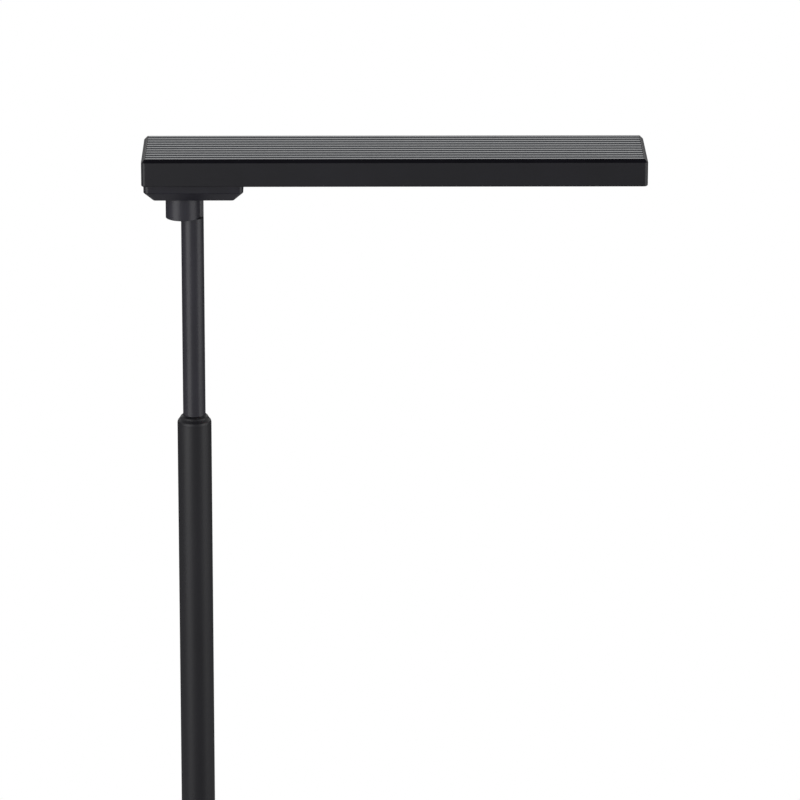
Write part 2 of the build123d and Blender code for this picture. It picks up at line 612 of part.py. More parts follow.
def make_foot_plate():
    """Die-cast plate under the head: a flat block whose lower edge slopes in all round."""
    bevel_top = FOOT_UNDERSIDE + FOOT_BEVEL_HEIGHT
    upper = slab(FOOT_LENGTH, FOOT_DEPTH, FOOT_CORNER, bevel_top, HEAD_UNDERSIDE, FOOT_CENTRE)
    small = RectangleRounded(
        FOOT_LENGTH - 2 * FOOT_BEVEL_INSET,
        FOOT_DEPTH - 2 * FOOT_BEVEL_INSET,
        FOOT_FACE_CORNER,
    )
    large = RectangleRounded(FOOT_LENGTH, FOOT_DEPTH, FOOT_CORNER)
    lower = loft([Pos(FOOT_CENTRE, 0, FOOT_UNDERSIDE) * small, Pos(FOOT_CENTRE, 0, bevel_top) * large])
    body = upper + lower
    body -= disc(POCKET_RADIUS, POCKET_FLOOR, HEAD_UNDERSIDE, HUB_OFFSET)
    body -= disc(PIVOT_RADIUS + PIVOT_CLEARANCE, FOOT_UNDERSIDE, POCKET_FLOOR, HUB_OFFSET)
    seat = FRICTION_WASHER_RADIUS + WASHER_SIDE_CLEARANCE
    body -= disc(seat, FOOT_UNDERSIDE, FOOT_UNDERSIDE + FRICTION_WASHER_SEAT, HUB_OFFSET)
    body -= stop_groove()
    for x, y in FOOT_SCREW_SPOTS:
        body -= disc(FOOT_SCREW_RADIUS, HEAD_UNDERSIDE - FOOT_SCREW_GRIP, HEAD_UNDERSIDE, x, y)
    return body


def make_friction_washer():
    """Nylon washer between the hub and the foot plate."""
    bore = PIVOT_RADIUS + PIVOT_CLEARANCE
    top = FOOT_UNDERSIDE + FRICTION_WASHER_SEAT
    return ring(FRICTION_WASHER_RADIUS, bore, HUB_TOP, top, HUB_OFFSET)


def make_foot_screws():
    return [
        pan_screw(
            FOOT_SCREW_RADIUS,
            FOOT_SCREW_HEAD_RADIUS,
            FOOT_SCREW_HEAD_HEIGHT,
            PANEL_TOP,
            HEAD_UNDERSIDE - FOOT_SCREW_GRIP,
            x,
            y,
        )
        for x, y in FOOT_SCREW_SPOTS
    ]


# ---------------------------------------------------------------- head
def make_head_shell():
    """Aluminium housing: side walls with a bevelled top edge and an inner ledge for the heat sink."""
    body = slab(HEAD_LENGTH, HEAD_DEPTH, HEAD_CORNER, HEAD_UNDERSIDE, HEAD_TOP, HEAD_CENTRE)
    body = chamfer(level_edges(body, HEAD_TOP), HEAD_TOP_CHAMFER)
    body = chamfer(level_edges(body, HEAD_UNDERSIDE), HEAD_BOTTOM_CHAMFER)
    body -= slab(CAVITY_LENGTH, CAVITY_DEPTH, CAVITY_CORNER, HEAD_UNDERSIDE, LEDGE_UNDERSIDE, HEAD_CENTRE)
    hole_length = CAVITY_LENGTH - 2 * LEDGE_WIDTH
    hole_depth = CAVITY_DEPTH - 2 * LEDGE_WIDTH
    body -= slab(hole_length, hole_depth, CAVITY_CORNER, LEDGE_UNDERSIDE, SINK_UNDERSIDE, HEAD_CENTRE)
    body -= slab(RECESS_LENGTH, RECESS_DEPTH, RECESS_CORNER, SINK_UNDERSIDE, HEAD_TOP, HEAD_CENTRE)
    for x, y in PANEL_SCREW_SPOTS:
        body += disc(BOSS_RADIUS, PANEL_TOP, LEDGE_UNDERSIDE, x, y)
        body -= disc(SMALL_SCREW_RADIUS, PANEL_TOP, PANEL_TOP + PANEL_SCREW_GRIP, x, y)
    for x, y in SINK_SCREW_SPOTS:
        body -= disc(SMALL_SCREW_RADIUS + SCREW_HOLE_CLEARANCE, LEDGE_UNDERSIDE, SINK_UNDERSIDE, x, y)
    return body


def make_heat_sink():
    """Aluminium panel with ribs along its length, flush with the housing's top."""
    depth = RECESS_DEPTH - 2 * SINK_CLEARANCE
    length = RECESS_LENGTH - 2 * SINK_CLEARANCE
    pitch = (depth - RIB_ROOT) / (RIB_COUNT - 1)
    groove_floor = SINK_UNDERSIDE + SINK_BASE
    lean = (RIB_ROOT - RIB_CREST) / 2
    outline = [(-depth / 2, SINK_UNDERSIDE)]
    for index in range(RIB_COUNT):
        middle = -depth / 2 + RIB_ROOT / 2 + index * pitch
        outline.append((middle - RIB_ROOT / 2, groove_floor))
        outline.append((middle - RIB_ROOT / 2 + lean, HEAD_TOP))
        outline.append((middle + RIB_ROOT / 2 - lean, HEAD_TOP))
        outline.append((middle + RIB_ROOT / 2, groove_floor))
    outline.append((depth / 2, SINK_UNDERSIDE))
    section = make_face(Polyline(*outline, close=True))
    body = Pos(HEAD_CENTRE - length / 2, 0, 0) * extrude(Plane.YZ * section, length)
    body = fillet(body.edges().filter_by(Axis.Z), RECESS_CORNER - SINK_CLEARANCE)
    for x, y in SINK_SCREW_SPOTS:
        body -= disc(SMALL_SCREW_RADIUS, SINK_UNDERSIDE, SINK_UNDERSIDE + SINK_BASE, x, y)
    return body


def make_sink_screws():
    return [
        pan_screw(
            SMALL_SCREW_RADIUS,
            SMALL_HEAD_RADIUS,
            SMALL_HEAD_HEIGHT,
            LEDGE_UNDERSIDE,
            SINK_UNDERSIDE + SINK_BASE,
            x,
            y,
        )
        for x, y in SINK_SCREW_SPOTS
    ]


def make_led_board():
    length = REFLECTOR_LENGTH - 2 * LED_BOARD_SETBACK
    depth = REFLECTOR_DEPTH - 2 * LED_BOARD_SETBACK
    return block(length, depth, SINK_UNDERSIDE - BOARD_THICKNESS, SINK_UNDERSIDE, WINDOW_CENTRE)


def make_led_chips():
    """Rows of light-emitting diodes under their board, as many as fit between the reflector's walls."""
    high = SINK_UNDERSIDE - BOARD_THICKNESS
    margin = REFLECTOR_SLOPE + LED_EDGE_GAP
    columns = int((WINDOW_LENGTH - 2 * margin - LED_SIZE[0]) / LED_PITCH[0]) + 1
    rows = int((WINDOW_DEPTH - 2 * margin - LED_SIZE[1]) / LED_PITCH[1]) + 1
    chips = []
    for column in range(columns):
        x = WINDOW_CENTRE + (column - (columns - 1) / 2) * LED_PITCH[0]
        for row in range(rows):
            y = (row - (rows - 1) / 2) * LED_PITCH[1]
            chips.append(block(LED_SIZE[0], LED_SIZE[1], high - LED_SIZE[2], high, x, y))
    return chips


def make_reflector():
    """White frame with leaning walls between the diffuser and the board."""
    low = PANEL_TOP + DIFFUSER_FLANGE_THICKNESS
    high = SINK_UNDERSIDE - BOARD_THICKNESS
    wide = Rectangle(WINDOW_LENGTH, WINDOW_DEPTH)
    narrow = Rectangle(WINDOW_LENGTH - 2 * REFLECTOR_SLOPE, WINDOW_DEPTH - 2 * REFLECTOR_SLOPE)
    funnel = loft([Pos(WINDOW_CENTRE, 0, low) * wide, Pos(WINDOW_CENTRE, 0, high) * narrow])
    return block(REFLECTOR_LENGTH, REFLECTOR_DEPTH, low, high, WINDOW_CENTRE) - funnel


def make_diffuser():
    """Opal pane: it fills the window and hangs on a flange inside the panel."""
    length = WINDOW_LENGTH - 2 * DIFFUSER_CLEARANCE
    depth = WINDOW_DEPTH - 2 * DIFFUSER_CLEARANCE
    corner = WINDOW_CORNER - DIFFUSER_CLEARANCE
    pane = slab(length, depth, corner, HEAD_UNDERSIDE, PANEL_TOP, WINDOW_CENTRE)
    flange_length = WINDOW_LENGTH + 2 * DIFFUSER_FLANGE
    flange_depth = WINDOW_DEPTH + 2 * DIFFUSER_FLANGE
    flange_top = PANEL_TOP + DIFFUSER_FLANGE_THICKNESS
    return pane + block(flange_length, flange_depth, PANEL_TOP, flange_top, WINDOW_CENTRE)


def make_bottom_panel():
    """Steel sheet that closes the head from below."""
    length = CAVITY_LENGTH - 2 * PANEL_CLEARANCE
    depth = CAVITY_DEPTH - 2 * PANEL_CLEARANCE
    low, high = HEAD_UNDERSIDE, PANEL_TOP
    body = slab(length, depth, CAVITY_CORNER, low, high, HEAD_CENTRE)
    body -= slab(WINDOW_LENGTH, WINDOW_DEPTH, WINDOW_CORNER, low, high, WINDOW_CENTRE)
    body -= disc(BUTTON_RADIUS + BUTTON_CLEARANCE, low, high, BUTTON_CENTRE)
    body -= disc(GROMMET_NECK, low, high, HUB_OFFSET)
    for x, y in PANEL_SCREW_SPOTS:
        body -= disc(SMALL_SCREW_RADIUS + SCREW_HOLE_CLEARANCE, low, high, x, y)
        body -= disc(SMALL_HEAD_RADIUS + SCREW_HOLE_CLEARANCE, low, low + PANEL_SCREW_SINK, x, y)
    for x, y in FOOT_SCREW_SPOTS:
        body -= disc(FOOT_SCREW_RADIUS + SCREW_HOLE_CLEARANCE, low, high, x, y)
    return body


def make_panel_screws():
    """Screws up through the bottom panel into the housing's posts."""
    seat = HEAD_UNDERSIDE + PANEL_SCREW_SINK
    tip = PANEL_TOP + PANEL_SCREW_GRIP
    return [
        pan_screw(SMALL_SCREW_RADIUS, SMALL_HEAD_RADIUS, PANEL_SCREW_SINK, seat, tip, x, y)
        for x, y in PANEL_SCREW_SPOTS
    ]


def make_wire_grommet():
    """Rubber grommet in the bottom panel, over the hollow pivot."""
    low = HEAD_UNDERSIDE - GROMMET_FLANGE_THICKNESS
    high = PANEL_TOP + GROMMET_FLANGE_THICKNESS
    body = disc(GROMMET_FLANGE, low, HEAD_UNDERSIDE, HUB_OFFSET)
    body += disc(GROMMET_NECK, HEAD_UNDERSIDE, PANEL_TOP, HUB_OFFSET)
    body += disc(GROMMET_FLANGE, PANEL_TOP, high, HUB_OFFSET)
    return body - disc(GROMMET_BORE, low, high, HUB_OFFSET)


def make_board_standoffs():
    return [disc(STANDOFF_RADIUS, PANEL_TOP, DRIVER_BOARD_UNDERSIDE, x, y) for x, y in STANDOFF_SPOTS]


def make_driver_board():
    return block(
        DRIVER_BOARD_LENGTH,
        DRIVER_BOARD_DEPTH,
        DRIVER_BOARD_UNDERSIDE,
        DRIVER_BOARD_TOP,
        DRIVER_BOARD_CENTRE,
    )


def make_driver_parts():
    """The dimming driver's larger components: choke, capacitor, chip and two connectors."""
    low, high = DRIVER_BOARD_TOP, COMPONENT_TOP
    choke_x = DRIVER_BOARD_NEAR + CHOKE_START + CHOKE_SIDE / 2
    capacitor_x = DRIVER_BOARD_NEAR + CAPACITOR_START + CAPACITOR_RADIUS
    chip_x = DRIVER_BOARD_NEAR + CHIP_START + CHIP_SIZE[0] / 2
    connector_inset = CONNECTOR_END_GAP + CONNECTOR_SIZE[0] / 2
    return [
        slab(CHOKE_SIDE, CHOKE_SIDE, CHOKE_CORNER, low, high, choke_x, CHOKE_OFFSET),
        disc(CAPACITOR_RADIUS, low, high, capacitor_x, CAPACITOR_OFFSET),
        block(CHIP_SIZE[0], CHIP_SIZE[1], low, low + CHIP_SIZE[2], chip_x, CHIP_OFFSET),
        block(*CONNECTOR_SIZE, low, high, DRIVER_BOARD_NEAR + connector_inset, CONNECTOR_OFFSET),
        block(*CONNECTOR_SIZE, low, high, DRIVER_BOARD_FAR - connector_inset, CONNECTOR_OFFSET),
    ]


def make_switch_body():
    """Momentary switch under the driver board, bored for the button's plunger."""
    high = DRIVER_BOARD_UNDERSIDE
    body = block(SWITCH_SIDE, SWITCH_SIDE, high - SWITCH_HEIGHT, high, BUTTON_CENTRE)
    bore = PLUNGER_RADIUS + BUTTON_CLEARANCE
    return body - disc(bore, high - SWITCH_HEIGHT, high - SWITCH_ROOF, BUTTON_CENTRE)


def make_power_button():
    """Round push button in the head's underside, with its flange and plunger."""
    low = HEAD_UNDERSIDE - BUTTON_PROUD
    flange_top = PANEL_TOP + BUTTON_FLANGE_THICKNESS
    cap = disc(BUTTON_RADIUS, low, PANEL_TOP, BUTTON_CENTRE)
    cap = chamfer(level_edges(cap, low), BUTTON_CHAMFER)
    cap += disc(BUTTON_RADIUS + BUTTON_FLANGE, PANEL_TOP, flange_top, BUTTON_CENTRE)
    return cap + disc(PLUNGER_RADIUS, flange_top, flange_top + PLUNGER_LENGTH, BUTTON_CENTRE)


# ---------------------------------------------------------------- write one file per piece
PIECES = {
    "base_cover": make_base_cover,
    "base_weight": make_base_weight,
    "base_pad": make_base_pad,
    "base_bolt": make_base_bolt,
    "base_washer": make_base_washer,
    "base_ring": make_base_ring,
    "pole_spigot": make_pole_spigot,
    "pole_set_screw": make_pole_set_screw,
    "dc_inlet": make_dc_inlet,
    "inlet_pin": make_inlet_pin,
    "outer_tube_lower": make_outer_tube_lower,
    "tube_coupler": make_tube_coupler,
    "outer_tube_upper": make_outer_tube_upper,
    "telescope_collar": make_telescope_collar,
    "friction_sleeve": make_friction_sleeve,
    "sleeve_retainer": make_sleeve_retainer,
    "inner_tube": make_inner_tube,
    "inner_guide": make_inner_guide,
    "swivel_hub": make_swivel_hub,
    "hub_set_screw": make_hub_set_screw,
    "pivot_tube": make_pivot_tube,
    "stop_pin": make_stop_pin,
    "thrust_washer": make_thrust_washer,
    "spring_washer": make_spring_washer,
    "pivot_nut": make_pivot_nut,
    "foot_plate": make_foot_plate,
    "friction_washer": make_friction_washer,
    "foot_screws": make_foot_screws,
    "head_shell": make_head_shell,
    "heat_sink": make_heat_sink,
    "sink_screws": make_sink_screws,
    "led_board": make_led_board,
    "led_chips": make_led_chips,
    "reflector": make_reflector,
    "diffuser": make_diffuser,
    "bottom_panel": make_bottom_panel,
    "panel_screws": make_panel_screws,
    "wire_grommet": make_wire_grommet,
    "board_standoffs": make_board_standoffs,
    "driver_board": make_driver_board,
    "driver_parts": make_driver_parts,
    "switch_body": make_switch_body,
    "power_button": make_power_button,
}

os.makedirs("parts", exist_ok=True)
for node, make in PIECES.items():
    piece = make()
    solids = piece if isinstance(piece, list) else [piece]
    shape = Compound(children=[s for group in solids for s in group.solids()])
    export_step(shape, f"parts/{node}.step")
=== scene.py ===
"""Shapes, finishes, light and camera of a telescopic reading lamp.

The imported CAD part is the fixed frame. Each new piece is worked out in millimetres, in the part's own
axes: +Z up, the pole's axis at x = y = 0, the head reaching out along +X and the front towards -Y.
"""

import json
import math

import bmesh
import bpy
import numpy as np
from mathutils import Matrix, Vector


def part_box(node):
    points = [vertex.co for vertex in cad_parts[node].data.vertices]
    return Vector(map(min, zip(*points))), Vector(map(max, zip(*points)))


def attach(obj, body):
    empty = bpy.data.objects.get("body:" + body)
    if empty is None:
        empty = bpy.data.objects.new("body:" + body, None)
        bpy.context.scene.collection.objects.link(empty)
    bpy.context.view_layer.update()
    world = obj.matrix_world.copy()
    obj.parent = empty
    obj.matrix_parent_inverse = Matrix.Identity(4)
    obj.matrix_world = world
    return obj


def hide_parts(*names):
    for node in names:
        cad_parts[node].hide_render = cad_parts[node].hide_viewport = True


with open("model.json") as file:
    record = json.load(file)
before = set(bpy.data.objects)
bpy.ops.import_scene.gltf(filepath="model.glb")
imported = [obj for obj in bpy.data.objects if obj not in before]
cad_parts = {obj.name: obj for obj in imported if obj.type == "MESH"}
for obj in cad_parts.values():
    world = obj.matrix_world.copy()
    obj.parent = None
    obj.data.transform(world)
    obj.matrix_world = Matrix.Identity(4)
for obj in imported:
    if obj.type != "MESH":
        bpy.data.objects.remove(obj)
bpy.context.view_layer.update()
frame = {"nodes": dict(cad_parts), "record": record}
nodes = frame["nodes"]

MM = 0.001
TURN = 2 * math.pi
MERGE = 1e-7  # metres within which two points are one
TINY = 1e-9  # stands in for a zero that is divided by


# ================================================================ places read from the frame
def span(node):
    """Lowest and highest corner of a CAD node, in millimetres."""
    low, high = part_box(node)
    return np.array(low) / MM, np.array(high) / MM


HEAD_LOW, HEAD_HIGH = span("head_shell")
SINK_LOW, SINK_HIGH = span("heat_sink")
FOOT_LOW, FOOT_HIGH = span("foot_plate")
HUB_LOW, HUB_HIGH = span("swivel_hub")
TUBE_LOW, TUBE_HIGH = span("inner_tube")
UPPER_LOW, UPPER_HIGH = span("outer_tube_upper")
LOWER_LOW, LOWER_HIGH = span("outer_tube_lower")
COLLAR_LOW, COLLAR_HIGH = span("telescope_collar")
COUPLER_LOW, COUPLER_HIGH = span("tube_coupler")
COVER_LOW, COVER_HIGH = span("base_cover")
RING_LOW, RING_HIGH = span("base_ring")
PAD_HIGH = span("base_pad")[1]
INLET_HIGH = span("dc_inlet")[1]
PANE_LOW, PANE_HIGH = span("diffuser")
PANEL_LOW, PANEL_HIGH = span("bottom_panel")
BUTTON_LOW, BUTTON_HIGH = span("power_button")
SCREWS_LOW, SCREWS_HIGH = span("panel_screws")
PIVOT_LOW, PIVOT_HIGH = span("pivot_tube")

SWIVEL_X = (PIVOT_LOW[0] + PIVOT_HIGH[0]) / 2
HEAD_MIDDLE = (HEAD_LOW[0] + HEAD_HIGH[0]) / 2
TUBE_RADIUS = TUBE_HIGH[0]
POLE_RADIUS = UPPER_HIGH[0]
POLE_WALL = 1.2


# ================================================================ surfaces
def soften(corners, steps=6, closed=False):
    """A profile whose corners are arcs. Each row of corners is (across, height, arc radius).

    At a corner P with unit directions a and b to its neighbours and half the angle between them h, the
    arc of radius r has its centre at P + (a + b) / |a + b| * r / sin(h) and touches the sides
    r / tan(h) away. One more point a quarter further out on each side keeps the flats flat. The ends of
    an open profile stay sharp.
    """
    smallest_half, further_out, same_point = 1e-3, 1.25, 1e-6
    corners = np.asarray(corners, float)
    p, r = corners[:, :2], corners[:, 2:].copy()
    a = np.roll(p, 1, 0) - p
    b = np.roll(p, -1, 0) - p
    if not closed:
        a[0] = -b[0]
        b[-1] = -a[-1]
        r[[0, -1]] = 0
    a /= np.linalg.norm(a, axis=1, keepdims=True)
    b /= np.linalg.norm(b, axis=1, keepdims=True)
    half = np.arccos(np.clip((a * b).sum(1, keepdims=True), -1, 1)) / 2
    between = a + b
    length = np.linalg.norm(between, axis=1, keepdims=True)
    between = np.where(length > TINY, between / np.maximum(length, TINY), 0)
    reach = r / np.tan(np.maximum(half, smallest_half))
    centre = p + between * r / np.sin(np.maximum(half, smallest_half))
    start = p + a * reach - centre
    end = p + b * reach - centre
    sweep = (math.pi / 2 - half)[:, :, None] * 2
    t = np.linspace(0, 1, steps + 1)[None, :, None]
    arc = np.sin((1 - t) * sweep) * start[:, None] + np.sin(t * sweep) * end[:, None]
    arc = centre[:, None] + arc / np.maximum(np.sin(sweep), TINY)
    arc = np.where((r > 0)[:, :, None], arc, p[:, None])
    lead = (p + a * reach * further_out)[:, None]
    tail = (p + b * reach * further_out)[:, None]
    line = np.concatenate([lead, arc, tail], 1).reshape(-1, 2)
    before = line[-1:] if closed else line[:1] - 1
    step = np.linalg.norm(np.diff(line, axis=0, prepend=before), axis=1)
    return line[step > same_point]


def directions(sides):
    """Angles a of evenly spread directions, and their unit vectors (cos a, sin a)."""
    angle = np.arange(sides) * TURN / sides
    return angle, np.stack([np.cos(angle), np.sin(angle)], -1)


def around(profile, way, x=0.0):
    """A profile (r, z) carried round an upright axis at (x, 0): the points (x, 0) + r * way, at z."""
    r, z = profile[:, :1, None], profile[:, 1:, None]
    flat = np.array((x, 0)) + r * way
    return np.concatenate([flat, np.broadcast_to(z, flat.shape[:2] + (1,))], -1)


def revolve(profile, sides, x=0.0):
    """Points (x + r cos a, r sin a, z): a profile (r, z) turned round an upright axis at (x, 0)."""
    return around(profile, directions(sides)[1], x)


def round_rectangle(half_x, half_y, radius, arc_steps=10, side_steps=1):
    """A loop of half sizes (half_x, half_y) whose corners are quarter circles of the given radius.

    All three may be arrays of one value for each loop; the result is (loops, points, 2). A point of a
    corner is its centre (half - radius) plus radius * (cos a, sin a). A straight side has side_steps
    equal steps.
    """
    sizes = (np.atleast_1d(value).astype(float) for value in (half_x, half_y, radius))
    half_x, half_y, radius = np.broadcast_arrays(*sizes)
    quarter = np.linspace(0, math.pi / 2, arc_steps + 1)
    angle = (np.arange(4)[:, None] * math.pi / 2 + quarter).reshape(-1)
    corner = np.repeat(np.array([(1, 1), (-1, 1), (-1, -1), (1, -1)]), arc_steps + 1, 0)
    x = corner[:, 0] * (half_x - radius)[:, None] + radius[:, None] * np.cos(angle)
    y = corner[:, 1] * (half_y - radius)[:, None] + radius[:, None] * np.sin(angle)
    loops = np.stack([x, y], -1)
    if side_steps == 1:
        return loops
    share = np.arange(side_steps) / side_steps
    follow = np.roll(loops, -1, 1)
    dense = loops[:, :, None] * (1 - share[:, None]) + follow[:, :, None] * share[:, None]
    keep = np.zeros((loops.shape[1], side_steps), bool)
    keep[:, 0] = True
    keep[arc_steps :: arc_steps + 1] = True
    return dense[:, keep]


def frame_loops(profile, size, corners, x, **steps):
    """A profile of (inset, z) carried round a rectangle of the given size, its middle at (x, 0).

    Each profile point gives one loop, drawn in by its inset on all sides, at its height, with its own
    corner radius.
    """
    inset, z = profile[:, 0], profile[:, 1]
    loops = round_rectangle(size[0] / 2 - inset, size[1] / 2 - inset, corners, **steps)
    height = np.broadcast_to(z[:, None, None], loops.shape[:2] + (1,))
    return np.concatenate([loops + (x, 0), height], -1)


def weave(rows, columns, offset, close_rows):
    """Corner numbers of the four-sided faces between a grid's rows, each of which is a closed loop."""
    i = np.arange(rows if close_rows else rows - 1)
    i, j = (v.reshape(-1) for v in np.meshgrid(i, np.arange(columns), indexing="ij"))
    up, over = (i + 1) % rows, (j + 1) % columns
    corners = np.stack([i * columns + j, i * columns + over, up * columns + over, up * columns + j], 1)
    return corners + offset


class Piece:
    """A mesh put together from grids of points, then merged, turned outward and given its finish."""

    def __init__(self, name):
        self.name = name
        self.points = []
        self.faces = []
        self.count = 0

    def grid(self, points, close_rows=False, caps=""):
        """Adds a grid of points (rows, columns, 3).

        close_rows joins the last row to the first. caps closes both of them: "flat" with one face each,
        "ladder" with faces between the two halves of the row, which run to and fro over the same places.
        """
        rows, columns = points.shape[:2]
        self.faces += weave(rows, columns, self.count, close_rows).tolist()
        ends = self.count + np.array([[0], [(rows - 1) * columns]])
        if caps == "flat":
            self.faces += (ends + np.arange(columns)).tolist()
        if caps == "ladder":
            i = np.arange(columns // 2 - 1)
            rungs = np.stack([i, i + 1, columns - 2 - i, columns - 1 - i], 1)
            self.faces += (ends[:, None] + rungs).reshape(-1, 4).tolist()
        self.points.append(points.reshape(-1, 3))
        self.count += rows * columns
        return self

    def mesh(self):
        """The grids as one mesh: doubles merged, faces without area dropped, all faces turned outward."""
        mesh = bpy.data.meshes.new(self.name)
        mesh.from_pydata((np.concatenate(self.points) * MM).tolist(), [], self.faces)
        work = bmesh.new()
        work.from_mesh(mesh)
        bmesh.ops.remove_doubles(work, verts=work.verts, dist=MERGE)
        bmesh.ops.dissolve_degenerate(work, dist=MERGE, edges=work.edges)
        bmesh.ops.recalc_face_normals(work, faces=work.faces)
        work.to_mesh(mesh)
        work.free()
        return mesh

    def finish(self, body, slot, replaces, crease=28, hole=None, look=None):
        """Makes the object in its slot's finish, or in another look.

        Edges that turn more than crease degrees stay sharp. A hole is a closed piece that is taken away.
        """
        item = bpy.data.objects.new(self.name, self.mesh())
        bpy.context.scene.collection.objects.link(item)
        if hole:
            cut(item, hole.mesh())
        mesh = item.data
        mesh.polygons.foreach_set("use_smooth", np.ones(len(mesh.polygons), bool))
        mesh.set_sharp_from_angle(angle=math.radians(crease))
        mesh.materials.clear()
        mesh.materials.append(FINISHES[look or slot])
        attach(item, body)
        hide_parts(*replaces)


def cut(item, cutter):
    """Takes a closed mesh away from an object and keeps the result as its mesh."""
    tool = bpy.data.objects.new("cutter", cutter)
    bpy.context.scene.collection.objects.link(tool)
    step = item.modifiers.new("bore", "BOOLEAN")
    step.operation = "DIFFERENCE"
    step.solver = "EXACT"
    step.object = tool
    bpy.context.view_layer.update()
    evaluated = item.evaluated_get(bpy.context.evaluated_depsgraph_get())
    result = bpy.data.meshes.new_from_object(evaluated)
    item.modifiers.clear()
    item.data = result
    bpy.data.objects.remove(tool)


def bore_along_y(radius, start, end, level, sides=64):
    """A round plug along Y, for cutting: points (r cos a, y, level + r sin a)."""
    circle = radius * directions(sides)[1]
    rows = np.array([start, end])[:, None] + 0 * circle[:, 0]
    across, up = (np.broadcast_to(values, rows.shape) for values in (circle[:, 0], level + circle[:, 1]))
    return Piece("cutter").grid(np.stack([across, rows, up], -1), caps="flat")


# ================================================================ shader toolkit
class Socket:
    """A node's output. Arithmetic on it adds the Math nodes."""

    def __init__(self, shading, output):
        self.shading = shading
        self.output = output

    def math(self, operation, *others):
        """Adds a Math node that takes this value and then the others."""
        values = dict(enumerate((self, *others)))
        return self.shading.node("ShaderNodeMath", {"operation": operation}, values)

    def __add__(self, other):
        return self.math("ADD", other)

    def __sub__(self, other):
        return self.math("SUBTRACT", other)

    def __mul__(self, other):
        return self.math("MULTIPLY", other)

    def __rsub__(self, other):
        return self.shading.node("ShaderNodeMath", {"operation": "SUBTRACT"}, {0: other, 1: self})

    __radd__ = __add__
    __rmul__ = __mul__


class Shading:
    """The node tree of a material or world, put together from expressions."""

    def __init__(self, owner, output):
        owner.use_nodes = True
        self.tree = owner.node_tree
        self.tree.nodes.clear()
        self.output = self.tree.nodes.new(output)

    def feed(self, node, values):
        """Links or sets a node's sockets, each by its name or number."""
        for key, value in values.items():
            if isinstance(value, Socket):
                self.tree.links.new(value.output, node.inputs[key])
            else:
                node.inputs[key].default_value = value

    def node(self, kind, settings, values, output=0):
        """Adds a node: its settings first, then the values or links of its sockets."""
        node = self.tree.nodes.new(kind)
        for key, value in settings.items():
            setattr(node, key, value)
        self.feed(node, values)
        return Socket(self, node.outputs[output])

    def end_with(self, surface):
        """Links what the tree makes to its output."""
        self.feed(self.output, {"Surface": surface})

    def place(self, kind="Object"):
        """The surface point, in metres, or in a world the direction looked in, with kind Generated."""
        return self.node("ShaderNodeTexCoord", {}, {}, kind)

    def axis(self, index, kind="Object"):
        """One coordinate of the place."""
        return self.node("ShaderNodeSeparateXYZ", {}, {0: self.place(kind)}, index)

    def ray(self, kind):
        """1 for the rays of a kind, such as Is Camera Ray, and 0 for the others."""
        return self.node("ShaderNodeLightPath", {}, {}, kind)

    def spread(self, size, stretch=(1, 1, 1)):
        """Coordinates for a pattern whose step is size millimetres, drawn out along the axes by stretch."""
        scale = tuple(1 / (size * MM * s) for s in stretch)
        return self.node("ShaderNodeMapping", {}, {"Vector": self.place(), "Scale": scale})

    def noise(self, size, stretch=(1, 1, 1), detail=2.0):
        """Soft random spots about size millimetres across."""
        values = {"Vector": self.spread(size, stretch), "Scale": 1.0, "Detail": detail}
        return self.node("ShaderNodeTexNoise", {}, values, "Fac")

    def cells(self, size, feature="F1"):
        """Distance to the nearest of scattered points that lie about size millimetres apart."""
        values = {"Vector": self.spread(size), "Scale": 1.0}
        return self.node("ShaderNodeTexVoronoi", {"feature": feature}, values, "Distance")

    def ramp(self, value, low, high, start=0.0, end=1.0):
        """Goes smoothly from start to end while value goes from low to high."""
        limits = {"Value": value, "From Min": low, "From Max": high, "To Min": start, "To Max": end}
        return self.node("ShaderNodeMapRange", {"interpolation_type": "SMOOTHSTEP"}, limits)

    def blend(self, factor, first, second):
        """A colour between two colours."""
        first, second = (c if isinstance(c, Socket) else (*c, 1.0) for c in (first, second))
        return self.node("ShaderNodeMix", {"data_type": "RGBA"}, {0: factor, 6: first, 7: second}, 2)

    def relief(self, height, depth):
        """Surface relief of the given depth in millimetres, from a height of 0 to 1."""
        values = {"Height": height, "Distance": depth * MM, "Strength": 1.0}
        return self.node("ShaderNodeBump", {}, values)


class Finish(Shading):
    """A material: one shader, what stays the same on it, and the nodes that feed the rest."""

    def __init__(self, name, **constant):
        self.material = bpy.data.materials.new(name)
        super().__init__(self.material, "ShaderNodeOutputMaterial")
        self.shader = self.tree.nodes.new("ShaderNodeBsdfPrincipled")
        self.surface = Socket(self, self.shader.outputs["BSDF"])
        self.end_with(self.surface)
        self.paint(**constant)

    def paint(self, **values):
        """Sets or feeds the shader's sockets; an underscore in a name is a space."""
        self.feed(self.shader, {key.replace("_", " "): value for key, value in values.items()})
        return self.material


def shade(colour, factor):
    return tuple(c * factor for c in colour)


# ================================================================ finishes
def anodised(name, colour, roughness):
    """Anodised aluminium: fine drawing lines along X, handling marks and slow cloudiness."""
    f = Finish(name, Metallic=0.0, IOR=1.45)
    lines = f.noise(0.25, (160, 1, 1), 3)
    grit = f.noise(0.3)
    cloud = f.noise(38, detail=3)
    touch = f.ramp(f.noise(17, (1.6, 1, 1), 4), 0.52, 0.68)
    tone = f.ramp(cloud * 0.6 + lines * 0.4, 0.35, 0.65)
    return f.paint(
        Base_Color=f.blend(tone, shade(colour, 0.82), shade(colour, 1.2)),
        Roughness=roughness + (lines - 0.5) * 0.09 + (cloud - 0.5) * 0.08 + touch * 0.035,
        Normal=f.relief(lines * 0.65 + grit * 0.35, 0.006),
    )


